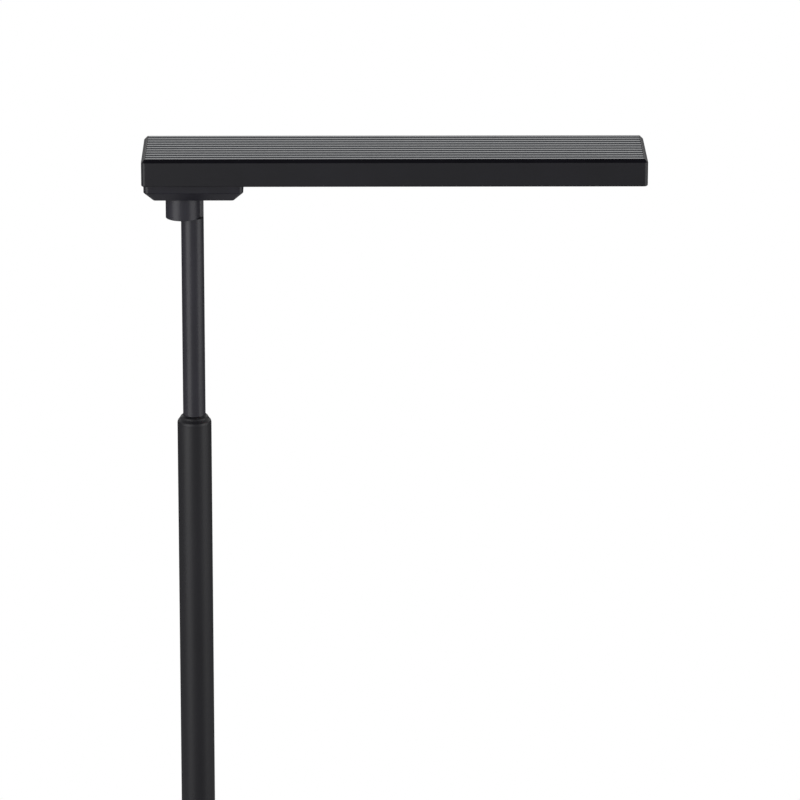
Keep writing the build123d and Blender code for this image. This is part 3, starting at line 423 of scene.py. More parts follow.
def ribbed_black(name, colour):
    """Anodised ribs: crests a little smoother, with painted light on the crests and painted shade in the
    grooves, and dust down in the grooves.
    """
    f = Finish(name, Metallic=0.0, IOR=1.7)
    rise = f.ramp(f.axis(2), (SINK_HIGH[2] - 1.5) * MM, (SINK_HIGH[2] - 0.1) * MM)
    groove = 1 - rise
    lines = f.noise(0.3, (220, 1, 1), 3)
    dust = f.ramp(f.noise(9, (3, 1, 1), 4), 0.45, 0.75) * groove
    cloud = f.noise(45, (1.5, 1, 1), 3)
    # painted light and shade: the crests' colour is made lighter and the grooves' colour darker
    crest_light_groove_shade = f.blend(rise, shade(colour, 0.75), shade(colour, 1.25))
    return f.paint(
        Base_Color=f.blend(dust * 0.22, crest_light_groove_shade, (0.09, 0.086, 0.08)),
        Roughness=0.22 - rise * 0.05 + (lines - 0.5) * 0.1 + (cloud - 0.5) * 0.07 + dust * 0.15,
        Normal=f.relief(lines, 0.008),
    )


def satin_paint(name, colour, roughness):
    """Satin paint on a casting: a soft orange peel and a few rubbed places."""
    f = Finish(name, Metallic=0.0, IOR=1.46)
    skin = f.noise(1.6)
    grit = f.noise(0.35)
    cloud = f.noise(30, detail=3)
    rub = f.ramp(f.noise(7, detail=4), 0.56, 0.7)
    return f.paint(
        Base_Color=f.blend(f.ramp(cloud, 0.35, 0.65), shade(colour, 0.85), shade(colour, 1.16)),
        Roughness=roughness + (cloud - 0.5) * 0.08 + (grit - 0.5) * 0.06 - rub * 0.03,
        Normal=f.relief(skin * 0.75 + grit * 0.25, 0.012),
    )


def tube_coat(name, colour, roughness):
    """Coated drawn tube: faint lines along its length under the coat, and light handling marks."""
    f = Finish(name, Metallic=0.0, IOR=1.48)
    lines = f.noise(0.5, (1, 1, 240), 3)
    grit = f.noise(0.28)
    slow = f.noise(26, (1, 1, 3), 3)
    touch = f.ramp(f.noise(11, (1, 1, 1.8), 4), 0.54, 0.7)
    tone = f.ramp(slow * 0.7 + lines * 0.3, 0.38, 0.62)
    return f.paint(
        Base_Color=f.blend(tone, shade(colour, 0.9), shade(colour, 1.12)),
        Roughness=roughness + (lines - 0.5) * 0.06 + (slow - 0.5) * 0.07 + touch * 0.03,
        Normal=f.relief(lines * 0.5 + grit * 0.5, 0.005),
    )


def powder_coat(name, colour, roughness, grain):
    """Textured powder coat: close rounded grains over slow unevenness, with a little dust."""
    f = Finish(name, Metallic=0.0, IOR=1.5)
    grains = 1 - f.cells(grain, "SMOOTH_F1")
    wave = f.noise(grain * 3.5, detail=3)
    cloud = f.noise(55, detail=3)
    dust = f.ramp(f.noise(13, detail=5), 0.58, 0.8)
    tone = f.blend(f.ramp(cloud, 0.35, 0.65), shade(colour, 0.85), shade(colour, 1.15))
    return f.paint(
        Base_Color=f.blend(dust * 0.12, tone, (0.12, 0.115, 0.105)),
        Roughness=roughness + (grains - 0.5) * 0.08 + (cloud - 0.5) * 0.06 + dust * 0.08,
        Normal=f.relief(grains * 0.7 + wave * 0.3, 0.05),
    )


def cast_iron(name, colour):
    """Sand-cast iron under a thin primer: a coarse sandy skin with shallow pits."""
    f = Finish(name, Metallic=0.25, IOR=1.6)
    sand = f.noise(0.9, detail=5)
    pits = f.ramp(f.cells(2.6), 0.12, 0.3)
    rust = f.ramp(f.noise(14, detail=5), 0.6, 0.78)
    tone = f.blend(f.ramp(sand, 0.3, 0.7), shade(colour, 0.7), shade(colour, 1.2))
    return f.paint(
        Base_Color=f.blend(rust * 0.5, tone, (0.12, 0.055, 0.03)),
        Roughness=0.62 + (sand - 0.5) * 0.2 + rust * 0.12,
        Normal=f.relief(sand * 0.6 + pits * 0.4, 0.12),
    )


def bright_metal(name, colour, roughness, lay, metallic=1.0):
    """Turned or rolled metal: fine tool lines, a cloudy plated film and small stains."""
    f = Finish(name, Metallic=metallic)
    lines = f.noise(0.18, lay, 3)
    film = f.noise(6, detail=4)
    stain = f.ramp(f.noise(3.2, detail=5), 0.6, 0.75)
    tone = f.blend(f.ramp(film, 0.35, 0.65), shade(colour, 0.88), shade(colour, 1.08))
    return f.paint(
        Base_Color=f.blend(stain * 0.3, tone, shade(colour, 0.6)),
        Roughness=roughness + (lines - 0.5) * 0.14 + (film - 0.5) * 0.1 + stain * 0.1,
        Normal=f.relief(lines, 0.01),
    )


def moulded(name, colour, roughness, grain, subsurface=0.0):
    """Moulded plastic: an eroded mould texture and slight flow marks."""
    f = Finish(name, Metallic=0.0, IOR=1.47, Subsurface_Weight=subsurface, Subsurface_Scale=0.002)
    spark = f.noise(grain, detail=3)
    flow = f.noise(12, (1, 2.2, 1), 3)
    scuff = f.ramp(f.noise(4, detail=5), 0.6, 0.76)
    tone = f.blend(f.ramp(flow, 0.35, 0.65), shade(colour, 0.93), shade(colour, 1.05))
    return f.paint(
        Base_Color=f.blend(scuff * 0.12, tone, shade(colour, 0.8)),
        Roughness=roughness + (spark - 0.5) * 0.12 + scuff * 0.05,
        Normal=f.relief(spark, 0.02),
    )


def soft_rubber(name, colour):
    """Soft rubber: a matte skin with talc left in its texture."""
    f = Finish(name, Metallic=0.0, IOR=1.5)
    skin = f.noise(0.6, detail=4)
    talc = f.ramp(f.noise(7, detail=5), 0.5, 0.75)
    return f.paint(
        Base_Color=f.blend(talc * 0.25, colour, (0.1, 0.1, 0.098)),
        Roughness=0.78 + (skin - 0.5) * 0.14 + talc * 0.06,
        Normal=f.relief(skin, 0.04),
    )


def opal_pane(name, pitch_x, pitch_y):
    """Opal acrylic: milky, with a fine frosted face and warmer places under the diodes.

    A place is warmer by the product of cos(turn * x / pitch) and the same in y.
    """
    f = Finish(name, Metallic=0.0, IOR=1.49, Subsurface_Weight=0.35, Subsurface_Scale=0.006)
    frost = f.noise(0.35, detail=3)
    milk = f.noise(40)
    rows = (f.axis(1) * (TURN / (pitch_y * MM))).math("COSINE")
    columns = (f.axis(0) * (TURN / (pitch_x * MM))).math("COSINE")
    spot = f.ramp(rows * columns, 0.2, 1.0)
    tone = f.blend(f.ramp(milk, 0.35, 0.65), (0.80, 0.80, 0.785), (0.86, 0.86, 0.85))
    return f.paint(
        Base_Color=f.blend(spot * 0.5, tone, (0.88, 0.85, 0.74)),
        Roughness=0.42 + (frost - 0.5) * 0.16,
        Normal=f.relief(frost, 0.01),
    )


def circuit_board(name, mask, trace, pitch):
    """Printed board: lacquer over tracks that run in steps of the given pitch, with vias."""
    f = Finish(name, Metallic=0.0, IOR=1.5)
    track = f.ramp(f.noise(pitch, (5, 1, 1), 0), 0.5, 0.53)
    via = f.ramp(f.cells(pitch * 3), 0.1, 0.06)
    glass_weave = f.noise(0.5, (2, 2, 1))
    return f.paint(
        Base_Color=f.blend(via * 0.7, f.blend(track, mask, trace), (0.5, 0.42, 0.25)),
        Roughness=0.34 + (glass_weave - 0.5) * 0.12 + via * 0.1,
        Normal=f.relief(track * 0.8 + glass_weave * 0.2, 0.02),
    )


def phosphor(name):
    """Diode packages: yellow phosphor, a little uneven, under clear resin."""
    f = Finish(name, Metallic=0.0, IOR=1.5)
    grain = f.noise(0.4, detail=3)
    tone = f.blend(f.ramp(grain, 0.3, 0.7), (0.82, 0.68, 0.22), (0.92, 0.82, 0.36))
    return f.paint(
        Base_Color=tone, Roughness=0.25 + (grain - 0.5) * 0.15, Normal=f.relief(grain, 0.01)
    )


# Each finish has a name, its maker and what the maker takes: mostly a colour and a roughness first.
FINISHES = {
    name: maker(name, *values)
    for name, maker, *values in (
        ("head_black", anodised, (0.0042, 0.0039, 0.0070), 0.36),
        # sink_black is much lighter than head_black: partly the ribs' own greyer anodising, partly painted
        # light for the sheen on the ribs' tops
        ("sink_black", ribbed_black, (0.047, 0.0515, 0.0600)),
        ("cast_black", satin_paint, (0.0084, 0.0078, 0.0135), 0.35),
        ("hub_black", satin_paint, (0.0165, 0.0155, 0.0225), 0.35),
        ("pole_grey", tube_coat, (0.0165, 0.0155, 0.0225), 0.34),
        ("pole_black", tube_coat, (0.0058, 0.0055, 0.0085), 0.44),
        ("base_black", powder_coat, (0.011, 0.011, 0.0115), 0.5, 0.55),
        ("iron", cast_iron, (0.09, 0.088, 0.085)),
        ("rubber_black", soft_rubber, (0.022, 0.022, 0.022)),
        ("nylon", moulded, (0.72, 0.70, 0.63), 0.46, 0.5, 0.15),
        ("zinc_steel", bright_metal, (0.56, 0.57, 0.58), 0.3, (1, 1, 30)),
        ("black_steel", bright_metal, (0.035, 0.035, 0.037), 0.36, (1, 1, 12), 0.7),
        ("brass", bright_metal, (0.72, 0.55, 0.28), 0.26, (1, 20, 1)),
        ("opal", opal_pane, 9.8, 12.0),
        ("white_plastic", moulded, (0.84, 0.84, 0.82), 0.5, 0.45, 0.05),
        ("board_white", circuit_board, (0.82, 0.82, 0.8), (0.76, 0.77, 0.75), 2.2),
        ("board_green", circuit_board, (0.02, 0.16, 0.06), (0.03, 0.24, 0.09), 1.3),
        ("led", phosphor),
        ("component", moulded, (0.028, 0.028, 0.03), 0.4, 0.4),
        ("inlet_plastic", moulded, (0.016, 0.016, 0.017), 0.42, 0.5),
        ("button_black", moulded, (0.018, 0.018, 0.019), 0.38, 0.4),
    )
}


# ================================================================ head
def head_housing():
    """Extruded housing: an upright wall, a bevel round the top, and inside it the ledge of the ribs.

    Its wall is a profile of (inset, height) carried round the head's rectangle.
    """
    foot, top, seat = HEAD_LOW[2], HEAD_HIGH[2], SINK_LOW[2]
    rim = SINK_LOW[0] - HEAD_LOW[0] - 0.1
    bevel, wall, ledge, ledge_depth = rim - 0.3, 2.0, 8.0, 2
    corner = 0.8
    outer = soften([
        (wall, foot, 0), (0.6, foot, 0.3), (0, foot + 0.6, 0.5), (0, top - bevel, 0.5),
        (bevel, top, 0.16), (rim, top, 0),
    ])
    inner = soften([
        (rim, top, 0), (rim, seat, 0.1), (ledge, seat, 0.2), (ledge, seat - ledge_depth, 0.3),
        (wall, seat - ledge_depth, 0.4), (wall, foot, 0),
    ], steps=3)[1:-1]
    opening = (inner[:, 0] < rim + 0.2) & (inner[:, 1] >= seat - 0.5)
    corners = [np.maximum(bevel + corner - outer[:, 0], corner), np.where(opening, 1.2, 0.5)]
    profile = np.concatenate([outer, inner])
    size = HEAD_HIGH - HEAD_LOW
    loops = frame_loops(profile, size, np.concatenate(corners), HEAD_MIDDLE, arc_steps=12)
    piece = Piece("head_housing").grid(loops, close_rows=True)
    piece.finish("head", "head_black", ["head_shell"], crease=35)


def rib_panel():
    """Ribbed panel: a trapezium wave across the head, carried along it.

    Height is the softened rib profile z(y). At each end the ribs' crests drop by r - sqrt(r^2 - d^2) over
    the last r millimetres, and the panel's corners are quarter circles in plan.
    """
    count, crest, root, depth = 11, 2.8, 3.6, 1.6
    corner, ease = 1.1, 0.45
    width = SINK_HIGH[1] - SINK_LOW[1]
    top = SINK_HIGH[2]
    pitch = (width - root) / (count - 1)
    middle = -width / 2 + root / 2 + pitch * np.arange(count)[:, None]
    across = (middle + np.array([-root / 2, -crest / 2, crest / 2, root / 2])).reshape(-1)
    height = np.tile([top - depth, top, top, top - depth], count)
    radii = np.tile([0.3, 0.35, 0.35, 0.3], count)
    y, z = soften(np.stack([across, height, radii], 1), steps=4).T

    over = np.maximum(np.abs(y) - (width / 2 - corner), 0)
    shortening = corner - np.sqrt(corner**2 - np.minimum(over, corner) ** 2)
    reach = (SINK_HIGH[0] - SINK_LOW[0]) / 2 - shortening
    from_end = np.array([0, 0.03, 0.1, 0.2, 0.32, 0.45, 0.6])
    from_end = np.concatenate([from_end, from_end[::-1]])[:, None]
    drop = ease - np.sqrt(ease**2 - np.maximum(ease - from_end, 0) ** 2)
    side = np.where(np.arange(len(from_end)) < len(from_end) // 2, -1, 1)[:, None]
    x = HEAD_MIDDLE + side * (reach[None] - from_end)
    share = (z - (top - depth)) / depth
    upper = np.stack([x, y + 0 * x, z - drop * share], -1)
    lower = np.stack([x, y + 0 * x, SINK_LOW[2] + 0 * x], -1)
    loops = np.concatenate([upper, lower[:, ::-1]], 1)
    piece = Piece("rib_panel").grid(loops, caps="ladder")
    piece.finish("head", "sink_black", ["heat_sink"], crease=40)


def light_pane():
    """Opal pane with a rounded outer edge, and the wider flange that holds it inside.

    Its edge is a profile of (inset, height) carried round the pane's rectangle.
    """
    low, seat, top = PANE_LOW[2], PANEL_HIGH[2], PANE_HIGH[2]
    flange, corner = 4.7, 3.8
    face = flange + 3
    profile = soften([
        (face, low, 0), (flange, low, 0.45), (flange, seat, 0.2), (0, seat, 0.2), (0, top, 0.3),
        (face, top, 0),
    ], steps=4)
    corners = np.maximum(corner - np.maximum(profile[:, 0] - flange, 0), 0.8)
    loops = frame_loops(profile, PANE_HIGH - PANE_LOW, corners, (PANE_LOW[0] + PANE_HIGH[0]) / 2)
    piece = Piece("light_pane").grid(loops, caps="flat")
    piece.finish("head", "opal", ["diffuser"], crease=35)


def push_button():
    """Round cap with a shallow dished face: a profile turned round the button's axis.

    The face stands h (1 - (r / R)^2) above its edge, for a dish of radius R and depth h.
    """
    low, seat, top = BUTTON_LOW[2], PANEL_HIGH[2], BUTTON_HIGH[2]
    radius, dish, stem, flange = 4.5, 3.5, 1.6, BUTTON_HIGH[1]
    rest = seat + 1
    out = np.linspace(0, 1, 8)[:, None]
    face = np.concatenate([dish * out, low + 0.35 * (1 - out**2)], 1)
    edge = soften([
        (dish, low, 0), (radius, low, 0.45), (radius, seat, 0.1), (flange, seat, 0.1), (flange, rest, 0.15),
        (stem, rest, 0.15), (stem, top, 0.3), (0, top, 0),
    ], steps=4)
    points = revolve(np.concatenate([face, edge[1:]]), 72, (BUTTON_LOW[0] + BUTTON_HIGH[0]) / 2)
    piece = Piece("push_button").grid(points)
    piece.finish("button", "button_black", ["power_button"], crease=35)


def panel_fixings():
    """Four screws, their heads let into the bottom panel.

    A screw is a profile turned round its axis. Inside the drive recess the radius follows a hexagon:
    f cos(30) / cos(a mod 60 - 30) for a corner radius f.
    """
    sides, head, shank, recess_edge = 48, 2.4, 1.25, 1.5
    low, seat, tip = SCREWS_LOW[2], PANEL_LOW[2] + 1.3, SCREWS_HIGH[2]
    recess = np.array([(0, 0.95), (1.0, 0.9), (1.15, 0.8), (1.2, 0.06), (1.26, 0)]) + (0, low)
    body = soften([
        (recess_edge, low, 0), (head, low, 0.35), (head, seat, 0.05), (shank, seat, 0.1), (shank, tip, 0.3),
        (0, tip, 0),
    ], steps=4)
    points = revolve(np.concatenate([recess, body]), sides)
    angle = directions(sides)[0]
    hexagon = math.cos(math.pi / 6) / np.cos(angle % (math.pi / 3) - math.pi / 6)
    points[: len(recess), :, :2] *= hexagon[:, None]
    piece = Piece("panel_fixings")
    for x in (SCREWS_LOW[0] + head, SCREWS_HIGH[0] - head):
        for y in (SCREWS_LOW[1] + head, SCREWS_HIGH[1] - head):
            piece.grid(points + (x, y, 0))
    piece.finish("head", "black_steel", ["panel_screws"], crease=30)


# ================================================================ foot plate and hub
def foot_casting():
    """Die-cast foot plate: a block whose lower edge slopes in, bored and grooved for the swivel.

    The outer rows are rounded rectangles. The inner rows are circles round the swivel's axis, in the same
    directions as the rectangle's points. The groove's depth is nothing inside the stop's sector.
    """
    low, top, pocket_floor = FOOT_LOW[2], FOOT_HIGH[2], span("thrust_washer")[0][2]
    slope_top, slope_in, edge = low + 7, 7.0, 4.0
    groove_floor, groove_inside, groove_outside = low + 2.8, 8.5, 11.5
    pocket, bore, washer, washer_seat = 11.5, 5.05, 7.6, low + 1
    outer = soften([
        (4, top, 0), (0, top, 0.4), (0, slope_top, 1.1), (slope_in, low, 0.9), (slope_in + 2, low, 0),
    ], steps=7)
    corners = np.maximum(edge - outer[:, 0] * 2.5 / slope_in, 1.5)
    middle = (FOOT_LOW[0] + FOOT_HIGH[0]) / 2
    skin = frame_loops(outer, FOOT_HIGH - FOOT_LOW, corners, middle, arc_steps=14, side_steps=24)
    inside = soften([
        (groove_outside + 0.7, low, 0), (groove_outside, low, 0.15), (groove_outside, groove_floor, 0.2),
        (groove_inside, groove_floor, 0.2), (groove_inside, low, 0.15), (washer, low, 0.1),
        (washer, washer_seat, 0.1), (bore, washer_seat, 0.1), (bore, pocket_floor, 0.1),
        (pocket, pocket_floor, 0.4), (pocket, top, 0.3), (pocket + 0.5, top, 0),
    ], steps=3)
    away = skin[-1, :, :2] - (SWIVEL_X, 0)
    way = away / np.linalg.norm(away, axis=1, keepdims=True)
    rows = around(inside, way, SWIVEL_X)
    in_groove = (inside[:, 0] > groove_inside - 0.2) & (inside[:, 1] < groove_floor + 0.1)
    in_sector = np.abs(np.arctan2(way[:, 0], way[:, 1])) >= math.radians(160)
    rows[in_groove[:, None] & in_sector, 2] = low
    piece = Piece("foot_casting").grid(np.concatenate([skin, rows]), close_rows=True)
    piece.finish("head", "cast_black", ["foot_plate"], crease=32)


def hub_outline(angle):
    """Distance from the swivel's axis to the hub's side, by direction a.

    It is the barrel's radius, or where larger the way to the pole's socket,
    c cos a + sqrt(s^2 - (c sin a)^2), no further than the flat that trims the socket's front.
    """
    barrel, shift, trim = HUB_HIGH[1], -SWIVEL_X, math.radians(30)
    under = TUBE_RADIUS**2 - (shift * np.sin(angle)) ** 2
    socket = np.where(under > 0, shift * np.cos(angle) + np.sqrt(np.maximum(under, 0)), 0)
    lean = np.sin(trim - angle)
    flat = (shift + TUBE_RADIUS) * math.sin(trim) / np.maximum(lean, 0.05)
    return np.maximum(barrel, np.where(lean > 0.05, np.minimum(socket, flat), socket))


def hub_casting():
    """Die-cast hub: the outline of barrel and socket, bored for the pivot, on a round spigot.

    The side is a profile of (inset, height) carried round the outline. At the socket's foot its rounding
    shrinks to a twentieth, so that the socket closes on the tube's end.
    """
    low, foot, top = HUB_LOW[2], TUBE_HIGH[2], HUB_HIGH[2]
    bore, bore_floor, spigot, wire_hole, shrunk = 5, foot + 6, 7.2, 3.5, 0.05
    angle, way = directions(240)
    reach = hub_outline(angle)
    inside = np.array([
        (0, bore_floor), (bore - 0.1, bore_floor), (bore, bore_floor + 0.1), (bore, top - 0.2),
        (bore + 0.2, top),
    ])
    side = soften([(4, top, 0), (0, top, 0.35), (0, foot, 0.3), (3, foot, 0)], steps=5)
    at_socket_foot = (reach > HUB_HIGH[1] + 0.02) & (side[:, 1:] < foot + 1) & (side[:, :1] < 0.6)
    ease = np.where(at_socket_foot, shrunk, 1)
    distance = (reach - side[:, :1] * ease)[..., None]
    level = (foot + (side[:, 1:] - foot) * ease)[..., None]
    skin = np.concatenate([(SWIVEL_X, 0) + distance * way, level], -1)
    from_pole = skin[-1, :, :2] / np.linalg.norm(skin[-1, :, :2], axis=1, keepdims=True)
    plug = soften([
        (spigot, foot, 0), (spigot, low, 0.8), (wire_hole, low, 0.2), (wire_hole, foot + 2, 0.2),
        (0, foot + 2, 0),
    ], steps=3)
    rows = [around(inside, way, SWIVEL_X), skin, around(plug, from_pole)]
    piece = Piece("hub_casting").grid(np.concatenate(rows))
    piece.finish("mast", "cast_black", ["swivel_hub"], crease=30, look="hub_black")


# ================================================================ pole
def tube_section(outer, wall, low, top, edges):
    """A tube's wall as a closed profile. The edges' radii run from the outside's foot up and over."""
    inner = outer - wall
    ends = [(outer, low), (outer, top), (inner, top), (inner, low)]
    return soften([(*end, edge) for end, edge in zip(ends, edges)], 4, closed=True)


def slim_tube():
    """Inner tube: a ring section drawn along the pole, with the hub screw's hole in its rear."""
    profile = tube_section(TUBE_RADIUS, 1, TUBE_LOW[2], TUBE_HIGH[2], (0.3, 0.05, 0.2, 0.3))
    screw_low, screw_high = span("hub_set_screw")
    level = (screw_low[2] + screw_high[2]) / 2
    clear = 0.12 + (screw_high[2] - screw_low[2]) / 2
    hole = bore_along_y(clear, TUBE_RADIUS - 3, TUBE_RADIUS + 2, level)
    piece = Piece("slim_tube").grid(revolve(profile, 128), close_rows=True)
    piece.finish("mast", "pole_grey", ["inner_tube"], hole=hole)


def stout_tube(name, low, top, node, top_edge):
    """Outer tube: a ring section with eased ends drawn along the pole."""
    profile = tube_section(POLE_RADIUS, POLE_WALL, low, top, (0.3, top_edge, 0.15, 0.15))
    piece = Piece(name).grid(revolve(profile, 128), close_rows=True)
    piece.finish("base", "pole_black", [node])


def cone_collar():
    """End collar: a rounded bead, a cone and a blended shoulder, with the insert that goes into the tube."""
    top, foot, low = COLLAR_HIGH[2], UPPER_HIGH[2], COLLAR_LOW[2]
    lip, bore = TUBE_RADIUS + 0.2, POLE_RADIUS - POLE_WALL
    insert, seat = bore - 1.6, top - 2.6
    profile = soften([
        (lip, top, 0.05), (lip + 0.15, top, 0.08), (lip + 1.6, top - 1.25, 0.6),
        (lip + 2.22, top - 2.55, 0.8), (POLE_RADIUS - 0.4, top - 4.4, 2.0), (POLE_RADIUS, top - 5.6, 3.0),
        (POLE_RADIUS, foot, 0.05), (bore, foot, 0.1), (bore, low, 0.4), (insert, low, 0.2),
        (insert, seat, 0.1), (lip, seat, 0.2),
    ], 8, closed=True)
    piece = Piece("cone_collar").grid(revolve(profile, 128), close_rows=True)
    piece.finish("base", "pole_black", ["telescope_collar"], crease=34)


def joint_band():
    """Coupler of the two outer tubes: a long sleeve inside them and a crowned band between their ends.

    The band's radius is R - h t^4, where t goes from -1 to 1 over its height.
    """
    low, high = LOWER_HIGH[2], UPPER_LOW[2]
    bore = POLE_RADIUS - POLE_WALL - 0.05
    sleeve = bore - 2.5
    crown = np.linspace(-1, 1, 9)
    band = np.stack([POLE_RADIUS - 0.25 * crown**4, (low + high) / 2 + (high - low) / 2 * crown], 1)
    inside = [
        (bore, high), (bore, COUPLER_HIGH[2]), (sleeve, COUPLER_HIGH[2]), (sleeve, COUPLER_LOW[2]),
        (bore, COUPLER_LOW[2]), (bore, low),
    ]
    points = revolve(np.concatenate([band, inside]), 128)
    piece = Piece("joint_band").grid(points, close_rows=True)
    piece.finish("base", "pole_black", ["tube_coupler"], crease=34)


# ================================================================ base
def base_pan():
    """Pressed cover: a shallow pan with a bevelled, softly rounded edge and the inlet's hole in its rear."""
    radius, top, low = COVER_HIGH[0], COVER_HIGH[2], COVER_LOW[2]
    bolt_hole, wall, bevel, inlet_hole = 5.5, 1.5, 3.0, 4.7
    inside, ceiling = radius - wall, top - wall
    inner_bevel = bevel - wall * (2 - math.sqrt(2))
    profile = soften([
        (bolt_hole, top, 0.1), (radius - bevel, top, 2.2), (radius, top - bevel, 2.2), (radius, low, 0.5),
        (inside, low, 0.3), (inside, ceiling - inner_bevel, 1.0), (inside - inner_bevel, ceiling, 1.0),
        (bolt_hole, ceiling, 0.1),
    ], 8, closed=True)
    hole = bore_along_y(inlet_hole, radius - 6, radius + 4, INLET_HIGH[2] - 5.0)
    piece = Piece("base_pan").grid(revolve(profile, 192), close_rows=True)
    piece.finish("base", "base_black", ["base_cover"], hole=hole)


def pole_rosette():
    """Ring round the pole's foot: an upright side, a soft shoulder and a small step at the tube."""
    low, top, radius = RING_LOW[2], RING_HIGH[2], RING_HIGH[0]
    bore, shoulder = POLE_RADIUS + 0.05, 2
    rim, step = bore + 1.2, top - 0.6
    profile = soften([
        (bore, low, 0.1), (radius, low, 0.3), (radius, top - shoulder, 1.4), (radius - shoulder, top, 1.4),
        (rim, top, 0.3), (rim, step, 0.1), (bore, step, 0.2),
    ], 6, closed=True)
    piece = Piece("pole_rosette").grid(revolve(profile, 128), close_rows=True)
    piece.finish("base", "base_black", ["base_ring"])


def grip_pad():
    """Rubber pad with round grooves in its underside.

    Height there is -d cos a, and never under 0. The angle a goes round once from ring to ring.
    """
    radius, top = PAD_HIGH[0], PAD_HIGH[2]
    first, pitch, depth = 24, 12, 0.54
    r = np.linspace(first, radius - 7, 240)
    centre = np.array([(0, 0), (18, 0)])
    under = np.stack([r, depth * np.maximum(-np.cos((r - first) * TURN / pitch), 0)], 1)
    edge = soften([(radius - 5, 0, 0), (radius, 0, 0.5), (radius, top, 0.3), (0, top, 0)], 4)
    piece = Piece("grip_pad").grid(revolve(np.concatenate([centre, under, edge]), 160))
    piece.finish("base", "rubber_black", ["base_pad"], crease=35)


head_housing()
rib_panel()
light_pane()
push_button()
panel_fixings()
foot_casting()
hub_casting()
slim_tube()
stout_tube("stout_tube_lower", LOWER_LOW[2], LOWER_HIGH[2], "outer_tube_lower", 0.3)
stout_tube("stout_tube_upper", UPPER_LOW[2], UPPER_HIGH[2], "outer_tube_upper", 0.05)
cone_collar()
joint_band()
base_pan()
pole_rosette()
grip_pad()

for part in frame["record"]["subparts"]:
    cad_mesh = nodes[part["node"]].data
    cad_mesh.materials.clear()
    cad_mesh.materials.append(FINISHES[part["material_slot"]])


# ================================================================ floor, light and camera
def pale_floor():
    """Pale floor that keeps the lamp's shadow and turns into a plain white ground further out.

    In mirrored rays it has its own tones, from a bright strip near the camera to a dark far side.
    """
    corner = 30.0
    ring = [(-corner, -corner, 0), (corner, -corner, 0), (corner, corner, 0), (-corner, corner, 0)]
    mesh = bpy.data.meshes.new("floor")
    mesh.from_pydata(ring, [], [(0, 1, 2, 3)])
    floor = bpy.data.objects.new("floor", mesh)
    bpy.context.scene.collection.objects.link(floor)
    f = Finish("floor", Roughness=0.9)
    f.paint(Base_Color=f.blend(f.noise(4, detail=4), (0.80, 0.80, 0.80), (0.84, 0.84, 0.84)))
    distance = f.node("ShaderNodeVectorMath", {"operation": "LENGTH"}, {0: f.place()}, "Value")
    camera_ray = f.ray("Is Camera Ray")
    mirrored = f.ray("Is Glossy Ray").math("MAXIMUM", f.ray("Is Transmission Ray"))
    depth = f.axis(1)
    tone = f.ramp(depth, -3.5, -2.6, 0.62, 0.22) + f.ramp(depth, -0.6, 0.2, 0.0, 0.12)
    tone = tone - f.ramp(depth, 0.7, 2.2, 0.0, 0.22) - f.ramp(depth, 2.2, 6, 0.0, 0.1)
    glow = f.node("ShaderNodeEmission", {}, {"Color": f.blend(camera_ray, tone, (1.0, 1.0, 1.0))})
    white = f.ramp(distance, 0.7, 1.7, 0.3, 1.0) * camera_ray
    share = white.math("MAXIMUM", mirrored)
    f.end_with(f.node("ShaderNodeMixShader", {}, {0: share, 1: f.surface, 2: glow}))
    mesh.materials.append(f.material)


def soft_box(name, azimuth, distance, low, high, width, radiance):
    """An upright area lamp facing the pole. azimuth is measured from the front, positive to the right."""
    light = bpy.data.lights.new(name, "AREA")
    light.shape = "RECTANGLE"
    light.size, light.size_y = width, high - low
    light.energy = radiance * math.pi * width * (high - low)
    lamp = bpy.data.objects.new(name, light)
    bpy.context.scene.collection.objects.link(lamp)
    turn = math.radians(azimuth)
    spot = Vector((distance * math.sin(turn), -distance * math.cos(turn), (low + high) / 2))
    lamp.location = spot
    lamp.rotation_euler = Vector((-spot.x, -spot.y, 0)).to_track_quat("-Z", "Z").to_euler()
    lamp.visible_camera = False


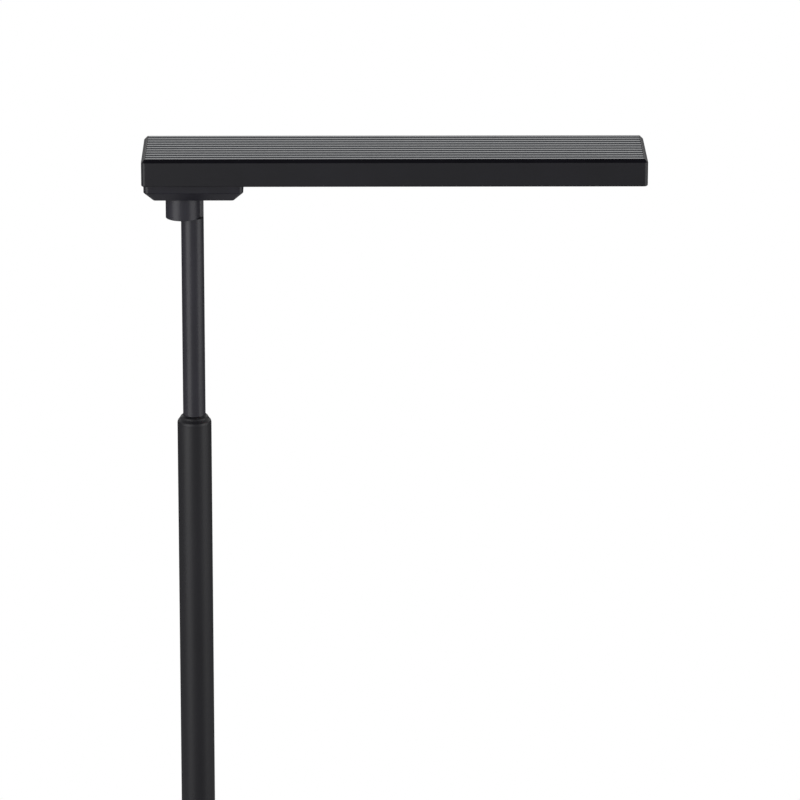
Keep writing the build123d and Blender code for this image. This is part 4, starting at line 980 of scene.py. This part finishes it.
def studio_world():
    """White surroundings for the camera, an even light on matt surfaces, a shaded room in mirrored rays.

    In mirrored rays a light band stands behind the lamp. The ceiling is dark, and the room in front and the
    foot of the band are dimmer.
    """
    world = bpy.data.worlds.new("studio")
    bpy.context.scene.world = world
    w = Shading(world, "ShaderNodeOutputWorld")
    depth, height = w.axis(1, "Generated"), w.axis(2, "Generated")
    behind = w.ramp(depth, 0.5, 0.9, 0.6, 1.12)
    band = w.ramp(height, 0.05, 0.2, 0.25, 1.0)
    ceiling = w.ramp(height, 0.35, 0.8, 1.0, 0.03)
    even, white = 0.48, 1.0
    room = w.node("ShaderNodeMix", {}, {0: w.ray("Is Glossy Ray"), 2: even, 3: behind * band * ceiling})
    strength = w.node("ShaderNodeMix", {}, {0: w.ray("Is Camera Ray"), 2: room, 3: white})
    values = {"Color": (1, 1, 1, 1), "Strength": strength}
    w.end_with(w.node("ShaderNodeBackground", {}, values))


def camera():
    """A long lens about 3.7 m in front of the head and 2.2 m up, looking down by 17 degrees.

    Its directions come from the angles it looks down, is turned to the right and is rolled by.
    """
    place, focal_length = (0.10939, -3.72671, 2.19839), 238.95
    pitch, turn, roll = (math.radians(v) for v in (17.002, 0.639, 0.084))
    level = Vector((math.cos(turn), -math.sin(turn), 0))
    ahead = math.cos(pitch)
    forward = Vector((math.sin(turn) * ahead, math.cos(turn) * ahead, -math.sin(pitch)))
    upright = level.cross(forward)
    right = math.cos(roll) * level + math.sin(roll) * upright
    up = -math.sin(roll) * level + math.cos(roll) * upright
    axes = Matrix((right, up, -forward)).transposed().to_4x4()
    lens = bpy.data.cameras.new("camera")
    lens.sensor_width = 36.0
    lens.lens = focal_length
    lens.clip_end = 200.0
    eye = bpy.data.objects.new("camera", lens)
    bpy.context.scene.collection.objects.link(eye)
    eye.matrix_world = Matrix.Translation(place) @ axes
    bpy.context.scene.camera = eye


pale_floor()
studio_world()
soft_box("left_box", azimuth=-45, distance=2.6, low=0.1, high=2.3, width=2.7, radiance=2.2)
soft_box("right_box", azimuth=70, distance=2.6, low=0.1, high=2.3, width=2.1, radiance=1.65)
camera()
bpy.context.scene.view_settings.view_transform = "Standard"
